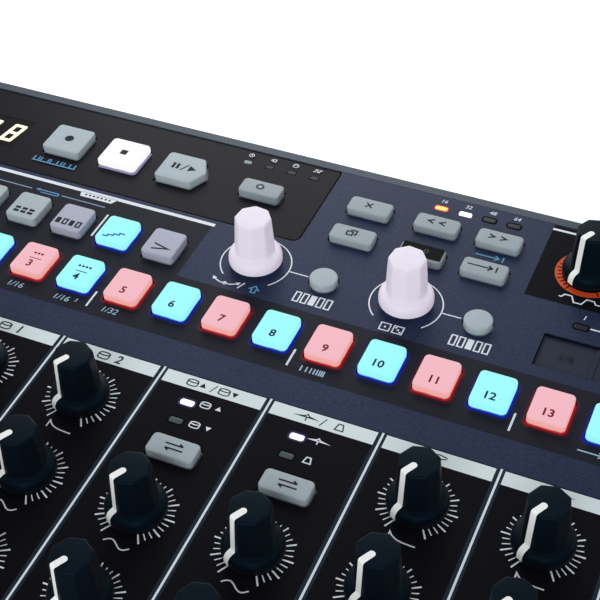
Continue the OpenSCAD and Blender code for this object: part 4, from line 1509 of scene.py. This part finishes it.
    def round_keys(self) -> None:
        """Make the two round keys."""
        height, edge, r, neck_r = KeySize.SMALL.value[2], 0.6, self.round_r, self.round_r - 0.3
        web_r = r + 0.7
        stations = [(WEB_TOP - WEB_T, web_r), (WEB_TOP, web_r), (WEB_TOP, neck_r), (-0.1, neck_r), (0.2, r),
                    (height - edge, r), *((height - drop, r - inset) for drop, inset in round_edge(edge)),
                    (height + 0.08, 2.2), (height + 0.1, 0.6)]
        for n, (x, y) in enumerate(self.round_at, 1):
            shape = Shape()
            shape.loft([at_height(z, arc(x, y, reach, 0, 352.5, 47)) for z, reach in stations])
            piece = shape.make(f"track_keys_{n}_cap", KEY_SILICONE)
            fit(piece, "grey_silicone", "track_keys", *(("track_keys",) if n == 1 else ()))

    def holes(self) -> list[list[Point]]:
        """Outline the step and mode keys' holes, for the print round them.

        Returns:
            The outlines.
        """
        steps = [(KeySize.STEP, self.step_x(n), self.step_y) for n in range(1, self.step_count + 1)]
        modes = [(KeySize.MODE, self.mode_x(n), self.mode_y) for n, _ in enumerate(self.mode_finishes, 1)]
        return [self.hole(*place) for place in steps + modes]

    def hole(self, size: KeySize, x: float, y: float) -> list[Point]:
        """Outline of a key's hole."""
        width, depth, _ = size.value
        return outline(box_corners(x, y, width + 2 * KEY_HOLE, depth + 2 * KEY_HOLE), 0, HOLE_R)


@dataclass
class PadRow:
    """The rubber pads along the front.

    Attributes:
        count: Number of pads.
        pitch: Distance from one to the next.
        width: Width of a pad.
        depth: Its depth.
        height: Its height above the panel.
        radius: Radius of its corners.
        edge: Radius of its top edge.
        crown: How far its middle stands above that edge.
        y: Middle of the row.
        middle: The same, across.
    """

    count: int = 10
    pitch: float = 32.9
    width: float = 28.0
    depth: float = 22.0
    height: float = 3.4
    radius: float = 3.0
    edge: float = 1.3
    crown: float = 0.25
    y: float = -132.2
    middle: float = 136.3

    def build(self) -> None:
        """Make each pad."""
        for n in range(self.count):
            x = self.middle + (n - (self.count - 1) / 2) * self.pitch
            node = f"pad_{n + 1}"
            cap = KeyCap(box_corners(x, self.y, self.width, self.depth), self.height, PAD_SILICONE,
                         self.radius, self.edge, self.crown)
            KeyGroup(node, "pad_rubber", [cap]).build()


@dataclass(frozen=True)
class Window:
    """One small lamp's window.

    Attributes:
        name: Name of the piece.
        x: Its middle.
        y: Its middle.
        finish: Its finish.
        width: Its width.
        depth: Its depth.
        top: Height of its face above the panel.
        radius: Radius of its corners.
    """

    name: str
    x: float
    y: float
    finish: Finish
    width: float = 4.6
    depth: float = 2.3
    top: float = 0.0
    radius: float = 0.8

    def spill(self) -> Spill | None:
        """Tell what its light does to the paint round it.

        Returns:
            That paint's finish, or None if one can't see the light on it.
        """
        if isinstance(self.finish, Lamp) and self.y < 0:
            return LILAC_SPILL
        return ORANGE_SPILL if self.finish is ORANGE_LAMP else None


@dataclass
class Lights:
    """The small lamps' windows and the number display.

    Attributes:
        length_x: Middle of the first of the four lamps behind the touch strip.
        length_pitch: Distance from one of them to the next.
        source_top: Height of the windows in the sunk plate.
        display: Middle, width and depth of the display's lens.
        lens_top: Height of its face.
        digits: Lit bars of each digit, from the left.
        digit_pitch: Distance from one digit to the next.
        last_digit_x: Middle of the last one.
    """

    length_x: float = 233.6
    length_pitch: float = 15.6
    source_top: float = -0.35
    display: tuple[float, float, float, float] = (-5.3, 65.5, 34.0, 16.5)
    lens_top: float = -0.45
    digits: tuple[str, ...] = ("abged", "abcdefg", "abcdefg")
    digit_pitch: float = 10.8
    last_digit_x: float = 7.2

    def windows(self) -> list[Window]:
        """List every small lamp's window, row by row.

        Returns:
            The windows.
        """
        page_finishes = (ORANGE_LAMP, WHITE_LAMP, BLACK_LENS, BLACK_LENS)
        found = [Window(f"page_lamp_{n + 1}", x, 82.0, page_finishes[n])
                 for n, x in enumerate((173.2, 182.0, 190.8, 199.6))]
        found += [Window(f"source_lamp_{n + 1}", x, 81.5, BLACK_LENS if n else PALE_LENS, 3.2, 1.8,
                         self.source_top) for n, x in enumerate((98.4, 107.2, 116.0, 124.8))]
        found += [Window(f"track{track}_lamp_{n + 1}", column_x(track) - 5.1, y,
                         DARK_LENS if n else WHITE_LAMP)
                  for track in TWO_SOUND_TRACKS for n, y in enumerate((-33.0, -40.7))]
        found += [Window(f"length_lamp_{n + 1}", self.length_x + n * self.length_pitch, 42.7, BLACK_LENS)
                  for n in range(4)]
        return found

    def build(self) -> None:
        """Make the windows with their dark rims, which are painted shade in the gap round them, and the light
        round them, then the display.
        """
        rim_shadows = Print(z=LINE_Z)
        for window in self.windows():
            corners = box_corners(window.x, window.y, window.width, window.depth)
            stations = [(window.top + z, inset, lit) for z, inset, lit in (
                (-1.6, 0.0, 0.0), (0.0, 0.0, 0.0), (0.06, 0.1, 0.3), (0.1, 0.3, 0.7), (0.1, 0.6, 1.0))]
            shape = Shape()
            shape.loft([at_height(z, outline(corners, inset, max(0.15, window.radius - inset), 4))
                        for z, inset, _ in stations], [lit for _, _, lit in stations])
            fit(shape.make(window.name, window.finish), "clear_window", Body.ROOT.value,
                *(("light_windows",) if window.name == "page_lamp_1" else ()))
            spill = window.spill()
            if spill:
                glow = Shape()
                glow.loft([at_height(LINE_Z, outline(corners, -reach, window.radius + reach, 4))
                           for reach in (1.1, 0.5, 0.0)], (0.0, 0.5, 1.0), capped=False)
                glow.paint(f"{window.name}_spill", spill)
            elif not isinstance(window.finish, Lamp) and window.top == 0:
                # a black ring painted as the shade in the gap round an unlit flush window
                rim_shadows.area(outline(corners, -0.45, 1.1, 4), outline(corners, 0.1, 0.7, 4))
        rim_shadows.paint("lamp_rim_shadows", SHADOW_BLACK)
        self.display_window()

    def display_window(self) -> None:
        """Make the display's lens and the lit digits on it, each with a halo."""
        lens = Shape()
        lens.loft([at_height(z, outline(box_corners(*self.display), 0.02, 0.3, 3))
                   for z in (-3.2, self.lens_top)])
        fit(lens.make("display_lens", SMOKED_LENS), "clear_window")
        for name, finish, z, stroke in (("display_halo", DIGIT_HALO, self.lens_top + INK_Z, 1.9),
                                        ("display_digits", DIGIT_LIGHT, self.lens_top + 2 * INK_Z, 1.2)):
            sheet = Print(z=z)
            for n, bars in enumerate(self.digits, 1 - len(self.digits)):
                self.digit(sheet, self.last_digit_x + n * self.digit_pitch, bars, stroke)
            fit(sheet.make(name, finish), "clear_window")

    def digit(self, sheet: Print, x: float, bars: str, stroke: float) -> None:
        """Draw one number from its lit bars.

        Args:
            sheet: The sheet that takes it.
            x: Middle of the number.
            bars: Letters of the lit bars, from a at the top, clockwise, to g in the middle.
            stroke: Width of the bars.
        """
        half_w, half_h, y, slant = 2.0, 4.6, self.display[1], 0.17
        ends = {"a": ((-1, 1), (1, 1)), "b": ((1, 1), (1, 0)), "c": ((1, 0), (1, -1)),
                "d": ((-1, -1), (1, -1)), "e": ((-1, 0), (-1, -1)), "f": ((-1, 1), (-1, 0)),
                "g": ((-1, 0), (1, 0))}
        for bar in bars:
            start, end = [(x + px * half_w + py * half_h * slant, y + py * half_h) for px, py in ends[bar]]
            sheet.line([start, end], stroke)
            sheet.disc(*start, stroke / 2, 12)
            sheet.disc(*end, stroke / 2, 12)


# A knob's scale: direction of each tick, in degrees, and whether it is one of the long ones
TICKS = [(-120 - 10 * k, k % 3 == 0) for k in range(31)]


@dataclass
class PanelPrint:
    """What is printed on the panel: dark areas, lines, scales, numbers and small signs.

    Boxes are left, front, right and back, in the panel frame.

    Attributes:
        keyboard: The keys that it leaves room for.
        knobs: The knobs that its scales stand round.
        lights: The lamps that it marks.
        strip_y: Front and back of the dark strip round the step keys.
        zone_x: Left and right of the zone behind it, round the mode keys.
        zone_top: Back of that zone.
        strip_right: Right end of the strip.
        column_top: Back of the instruments' dark areas.
        column_bottom: Their front.
        header_y: Front and back of their pale headers.
        column_inset: How far they stand from the column's left and right edge.
        effect_box: Dark area of the effect.
        plate_box: The display plate.
        plate_sink: How far its face lies below the panel.
        touch_box: The touch strip.
        touch_sink: How far its face lies below the panel.
        arc_r: Radius of the arcs round the white knobs.
        arc_turn: Direction of their ends, in degrees.
        label_drop: How far a knob's sign stands in front of its shaft.
        line_half: Half the width of the lines between the columns.
    """

    keyboard: Keyboard
    knobs: KnobSet
    lights: Lights
    strip_y: Point = (-10.4, 16.8)
    zone_x: Point = (9.9, 102.1)
    zone_top: float = 44.4
    strip_right: float = 298.0
    column_top: float = -22.0
    column_bottom: float = -120.4
    header_y: Point = (-27.5, -22.4)
    column_inset: Point = (1.26, 1.5)
    effect_box: tuple[float, float, float, float] = (212.4, 50.9, 302.0, 88.0)
    plate_box: tuple[float, float, float, float] = (-28.1, 47.4, 133.0, 89.1)
    plate_sink: float = 0.35
    touch_box: tuple[float, float, float, float] = (223.2, 21.3, 296.0, 36.3)
    touch_sink: float = 0.6
    arc_r: float = 12.1
    arc_turn: Point = (-46.6, 228.5)
    label_drop: float = 12.8
    line_half: float = 0.34

    def build(self) -> None:
        """Print the areas, then the lines and signs on top of them."""
        self.areas()
        self.spills()
        self.white_lines()
        self.scales()
        self.effect_ring()
        self.gasket()
        self.fold_edge()
        self.touch_cells()
        self.headers()
        self.labels()

    def column_span(self, track: int) -> Point:
        """Left and right edge of an instrument's dark area."""
        edge = COLUMN_EDGE + track * COLUMN_W
        return edge + self.column_inset[0], edge + COLUMN_W - self.column_inset[1]

    def areas(self) -> None:
        """Print the dark areas and the columns' pale headers."""
        strip, columns = Print(), Print()
        low, high = self.strip_y
        left, right = self.zone_x
        outer = [(left, low), (self.strip_right, low), (self.strip_right, high), (right, high),
                 (right, self.zone_top), (left, self.zone_top)]
        strip.area(outer, *self.keyboard.holes())
        columns.rect(*self.effect_box)
        headers = Print(z=LINE_Z)
        for track in TRACKS:
            holes = []
            if track in TWO_SOUND_TRACKS:
                holes.append(self.keyboard.hole(KeySize.SMALL, column_x(track), self.keyboard.type_y))
            x0, x1 = self.column_span(track)
            columns.area([(x0, self.column_bottom), (x1, self.column_bottom), (x1, self.column_top),
                          (x0, self.column_top)], *holes)
            headers.rect(x0, self.header_y[0], x1, self.header_y[1])
        strip.paint("print_key_strip", STRIP_INK)
        columns.paint("print_dark_areas", BLACK_INK)
        headers.paint("print_headers", HEADER_INK)

    def spills(self) -> None:
        """Colour the print round the lit keys with their light."""
        keys = self.keyboard
        red, blue = ([(KeySize.STEP, keys.step_x(n), keys.step_y)
                      for n in range(first, keys.step_count + 1, 2)] for first in (1, 2))
        blue.append((KeySize.MODE, keys.mode_x(keys.lit_mode), keys.mode_y))
        for name, finish, places in (("blue", BLUE_SPILL, blue), ("red", RED_SPILL, red)):
            shape = Shape()
            for size, x, y in places:
                corners = box_corners(x, y, *size.value[:2])
                shape.loft([at_height(INK_Z + INK_LAYER / 2,
                                      outline(corners, -KEY_HOLE - reach, HOLE_R + reach, 5))
                            for reach in (1.5, 0.9, 0.4, 0.0)], (0.0, 0.35, 0.7, 1.0), capped=False)
            shape.paint(f"print_{name}_spill", finish)

    def white_lines(self) -> None:
        """Print the white lines, and the slate stripes under those between the columns."""
        white, slate = Print(z=LINE_Z), Print()
        before, after = self.column_inset
        for track in (*TRACKS, TRACKS.stop):
            edge = COLUMN_EDGE + track * COLUMN_W
            slate.rect(edge - after, self.column_bottom, edge + before, self.column_top)
            white.rect(edge - self.line_half, self.column_bottom, edge + self.line_half, self.column_top)
        for n in range(self.keyboard.mat, self.keyboard.step_count, self.keyboard.mat):
            x = (n + 0.5) * STEP_PITCH
            white.rect(x - 0.35, -7.4, x + 0.35, 0)
        zone_line, tab = (10.5, 43.8, 102.9, 45.3), ((49.6, 44.2), (50.4, 41.6), (63.0, 41.6), (64.6, 44.2))
        lit_key_bar, effect_y, arc_w, gap = (64.8, 23.9, 65.5, 36.0), (85.2, 86.2), 0.44, 1.1
        white.rect(*zone_line)
        white.area(tab)
        white.rect(*lit_key_bar)
        white.rect(self.effect_box[0], effect_y[0], self.effect_box[2], effect_y[1])
        for node, (key_x, _) in zip(("swing_knob", "random_knob"), self.keyboard.round_at):
            x, y = self.knobs.shaft(node)
            white.ring(x, y, self.arc_r, arc_w, *self.arc_turn)
            white.rect(x + self.arc_r, y - arc_w / 2, key_x - self.keyboard.round_r - gap, y + arc_w / 2)
        for n in range(3):
            x = self.lights.length_x + n * self.lights.length_pitch
            white.rect(x + 3, 42.6, x + 12.6, 43.2)
        slate.paint("print_separators", SLATE_INK)
        white.paint("print_white_lines", WHITE_INK)

    def scales(self) -> None:
        """Print the ring of ticks round each dark knob but the effect's."""
        white = Print(z=LINE_Z)
        for node in ("volume_knob", *self.knobs.track_knobs()):
            x, y = self.knobs.shaft(node)
            for direction, is_long in TICKS:
                white.tick(x, y, direction, *((8.7, 12.0, 0.5) if is_long else (8.8, 11.2, 0.34)))
        white.paint("print_scales", WHITE_INK)

    def effect_ring(self) -> None:
        """Print the orange ring round the effect's knob, notched like a scale."""
        x, y = self.knobs.shaft("distortion_knob")
        ring_r, ring_w, lap = 10.1, 2.4, 0.1
        ring, notches = Print(z=LINE_Z), Print(z=MARK_Z)
        ring.ring(x, y, ring_r, ring_w)
        for direction, is_long in TICKS:
            notches.tick(x, y, direction, ring_r - ring_w / 2 - lap, ring_r + (0.75 if is_long else 0.3),
                         0.45)
        ring.paint("print_effect_ring", ORANGE_INK)
        notches.paint("print_effect_notches", BLACK_INK)

    def gasket(self) -> None:
        """Paint the shadow gap round the display plate as a thin black line."""
        x0, y0, x1, y1 = self.plate_box
        corners = box_corners((x0 + x1) / 2, (y0 + y1) / 2, x1 - x0, y1 - y0)
        plate_r, shadow_w = 2.6, 0.35
        shadow_line = Print()
        shadow_line.area(outline(corners, -shadow_w, plate_r + shadow_w, 8), outline(corners, 0.15, plate_r - 0.15, 8))
        # painted shadow of the gap where the plate meets the panel
        shadow_line.paint("plate_painted_shadow", SHADOW_BLACK)

    def fold_edge(self) -> None:
        """Paint a highlight along the back fold, in a paler coat, as far as the display plate's edge."""
        inverse = PANEL.inverted()
        face = [inverse @ v.co for v in frame["nodes"]["top_panel"].data.vertices]
        level = [p for p in face if abs(p.z) < INK_Z]
        margin, lap, top = 0.05, 0.6, LINE_Z
        left, right = min(p.x for p in level) + margin, max(p.x for p in level) - margin
        front, back = self.plate_box[3] - lap, max(p.y for p in level) - margin
        edge = Shape()
        edge.loft([[(left, y, z), (right, y, z)]
                   for y, z in ((front, -self.plate_sink), (front, top), (back, top))], strip=True)
        # the strip is a painted highlight, paler than the coat round it
        edge.paint("fold_edge", FOLD_HIGHLIGHT_COAT)

    def touch_cells(self) -> None:
        """Paint the shadow of the recess on the touch strip along its back and left edge, and write a note value
        on each of its cells.
        """
        x0, y0, x1, y1 = self.touch_box
        values = ("1/4", "1/8", "1/16", "1/32")
        cell = (x1 - x0) / len(values)
        level, gap, shade_end = INK_Z - self.touch_sink, 0.1, 0.9
        shade, marks = Print(z=level), Print(z=level)
        shade.rect(x0 + gap, y1 - shade_end, x1 - gap, y1 - gap)
        shade.rect(x0 + gap, y0 + gap, x0 + 0.8, y1 - shade_end)
        for n, text in enumerate(values):
            marks.number(text, x0 + (n + 0.5) * cell + 0.6, (y0 + y1) / 2 - 0.2, 2.8, 0.12, 0.02)
        # painted shadow of the recess's back and left edge
        shade.paint("touch_shade", SHADOW_BLACK)
        marks.paint("touch_marks", DARK_LEGEND)

    def headers(self) -> None:
        """Mark each instrument's header with signs for its sound."""
        sheet = Print(z=MARK_Z)
        y = sum(self.header_y) / 2
        single = {1: Sign.KICK, 6: Sign.HAT, 7: Sign.CYMBAL, 8: Sign.TONE}
        for track, sign in single.items():
            sheet.sign(sign, column_x(track), y, 2.7, 0.4)
        for track, number in ((2, "1"), (3, "2")):
            sheet.sign(Sign.DRUM, column_x(track) - 2.2, y, 2.9, 0.48)
            sheet.number(number, column_x(track) + 3.2, y, 3.2, 0.15, 0.1)
        for track, first, second in ((4, (Sign.DRUM, Sign.UP), (Sign.DRUM, Sign.DOWN)),
                                     (5, (Sign.CYMBAL,), (Sign.BELL,))):
            x = column_x(track)
            sheet.sign(Sign.SLASH, x, y, 2.9, 0.35)
            for side, group in ((-1, first), (1, second)):
                middle = x + side * 5.4
                for k, sign in enumerate(group):
                    sheet.sign(sign, middle + (k - (len(group) - 1) / 2) * 3.6, y, 2.7, 0.4)
        sheet.paint("print_header_marks", DARK_LEGEND)

    def labels(self) -> None:
        """Print the signs and numbers beside keys, knobs and lamps."""
        low_y = -6.8
        white = [
            (Sign.DRUM, 137.0, -31.9, 2.4), (Sign.DRUM, 137.4, -40.2, 2.4),
            (Sign.CYMBAL, 174.3, -32.4, 2.4), (Sign.BELL, 174.3, -40.1, 2.4),
            (Sign.UP, 141.4, -31.9, 2.4), (Sign.DOWN, 141.8, -40.2, 2.4),
            (Sign.SWING, 118.7, 20.3, 2.5, 0.45), (Sign.SLASH, 124.4, 20.2, 2.9, 0.45),
            (Sign.DICE, 177.8, 19.9, 3.4, 0.45), (Sign.TRACK, 149.3, 22.3, 4.6, 0.5),
            (Sign.TRACK, 203.2, 22.3, 4.6, 0.5), (Sign.CLIP, 230.0, 54.2, 3.0, 0.5),
            (Sign.LEVEL, 275.0, 54.2, 2.2), (Sign.METRONOME, column_x(0), 20.4, 3.0),
            (Sign.CLOCK, 98.3, 85.3, 2.0, 0.3), (Sign.PLUG, 107.2, 85.4, 1.6, 0.3),
            (Sign.DIN, 116.0, 85.4, 2.1, 0.3), (Sign.PULSES, 124.8, 85.4, 1.7, 0.32)]
        for node, row in self.knobs.track_knobs().items():
            x, y = self.knobs.shaft(node)
            sign = {"a": Sign.DECAY, "b": Sign.TONE, "c": Sign.LEVEL}[row]
            white.append((sign, x + 0.3, y - self.label_drop, 2.6, 0.45))
        white_numbers = [(text, x, 86.0, 1.7) for text, x in
                         (("16", 173.2), ("32", 182.0), ("48", 190.9), ("64", 199.7))]
        white_numbers += [(str(n + 1), self.lights.length_x + 0.2 + n * self.lights.length_pitch, 47.2, 2.0)
                          for n in range(4)]
        blue = [(Sign.OFF_GRID, 31.8, 55.0, 2.6, 0.5), (Sign.UNDO, 38.3, 39.1, 2.0, 0.45),
                (Sign.SHIFT, 129.2, 20.1, 3.2, 0.45), (Sign.LAST, 196.8, 63.9, 2.6, 0.5)]
        pale_blue = [(Sign.ROLL, 162.2, low_y, 2.6, 0.45), (Sign.LAST, 250.6, low_y, 2.4, 0.45)]
        pale_blue_numbers = [("1/16", 53.7, low_y, 2.4), ("1/16", 71.5, low_y, 2.4),
                             ("1/32", 89.5, -6.4, 2.4), ("3", 76.6, -6.2, 1.5)]
        for name, finish, signs, numbers in (
                ("white", WHITE_INK, white, white_numbers), ("blue", BLUE_INK, blue, []),
                ("pale_blue", PALE_BLUE_INK, pale_blue, pale_blue_numbers)):
            sheet = Print(z=LINE_Z)
            for sign in signs:
                sheet.sign(*sign)
            for number in numbers:
                sheet.number(*number, 0.15, 0.02)
            sheet.paint(f"print_{name}_signs", finish)
        self.undo_lines()
        self.tab_dots()

    def undo_lines(self) -> None:
        """Print the two lines that lead away from the undo sign."""
        lines = Print(z=LINE_Z)
        lines.rect(10.5, 38.7, 31.9, 39.2)
        lines.rect(44.3, 38.8, 62.1, 39.3)
        lines.paint("print_grey_blue_lines", GREY_BLUE_INK)

    def tab_dots(self) -> None:
        """Print the row of dots on the white tab."""
        dots, start_x, pitch, y = Print(z=MARK_Z), 52.2, 1.6, 42.9
        for n in range(7):
            dots.disc(start_x + n * pitch, y, 0.45, 12)
        dots.paint("print_tab_dots", DARK_LEGEND)


@dataclass
class RearFittings:
    """The plated nuts that hold the jacks at the back: hexagons on large jacks, ribbed rings on small ones.

    Attributes:
        wall_y: Where the nuts sit, in the row's frame.
        thickness: Thickness of a nut.
        chamfer: Width of its bevelled edges.
        large_bore: Bore's radius from which a jack takes a large nut.
        large: A large nut's radius of its hole, distance of its flats from the axis, and number of flats.
        small: The same of a small one.
    """

    wall_y: float = 118.8
    thickness: float = 1.4
    chamfer: float = 0.45
    large_bore: float = 2.5
    large: tuple[float, float, int] = (4.7, 7.0, 6)
    small: tuple[float, float, int] = (2.9, 4.9, 24)

    def build(self) -> None:
        """Make the nut of every jack, on the jack's own axis."""
        for mount in frame["record"]["mounts"]:
            if "jack" not in mount["name"]:
                continue
            size = self.large if mount["dims"]["r_mm"] > self.large_bore else self.small
            x, _, z = (part / MM for part in mount["pos_m"])
            nut = self.nut(x, z, *size)
            fit(nut.make(f"{mount['name']}_nut", NICKEL, ROW), "steel")

    def nut(self, x: float, z: float, hole: float, flat: float, sides: int) -> Shape:
        """One nut.

        Args:
            x: Its axis.
            z: Its axis.
            hole: Radius of its hole.
            flat: Distance of its flats from the axis.
            sides: Number of flats.

        Returns:
            The nut.
        """
        wall, top, steps, half = self.wall_y, self.wall_y + self.thickness, 72, 180 / sides
        lead_in = 0.3
        sides_reach = [flat / math.cos(math.radians((360 / steps * k + half) % (2 * half) - half))
                       for k in range(steps)]
        rings = []
        for y, limit in ((wall, math.inf), (top - self.chamfer, math.inf), (top, flat), (top, hole + lead_in),
                         (top - lead_in, hole), (wall, hole), (wall, math.inf)):
            ring = []
            for k, side in enumerate(sides_reach):
                angle, r = 2 * math.pi * k / steps, min(side, limit)
                ring.append((x + r * math.sin(angle), y, z + r * math.cos(angle)))
            rings.append(ring)
        shape = Shape()
        shape.loft(rings, capped=False)
        return shape


@dataclass
class Castings:
    """The CAD pieces whose shapes are right, each with its own finish."""

    finishes: dict[str, Finish] = field(default_factory=lambda: {
        "top_panel": POWDER_COAT, "display_plate": SATIN_PLATE, "bottom_case": CASE_ABS,
        "control_board": BOARD_LAMINATE, "potentiometers": ZINC_STEEL, "touch_strip": TOUCH_FOIL,
        "rear_sockets": SOCKET_NYLON, "rubber_feet": FOOT_RUBBER, "case_screws": ZINC_STEEL,
        "power_switch": SOCKET_NYLON})

    def build(self) -> None:
        """Give each of them its finish."""
        for node, finish in self.finishes.items():
            piece = frame["nodes"][node]
            piece.data.materials.clear()
            piece.data.materials.append(finish.material())
            LOG.info("%s has the finish %s", node, finish.name)


def main() -> None:
    """Build the scene, piece by piece."""
    logging.basicConfig(level=logging.INFO, format="%(name)s: %(message)s")
    Studio().build()
    Castings().build()
    RearFittings().build()
    knobs = KnobSet()
    knobs.build()
    keyboard = Keyboard()
    keyboard.build()
    PadRow().build()
    lights = Lights()
    lights.build()
    PanelPrint(keyboard, knobs, lights).build()


if __name__ == "__main__":
    main()
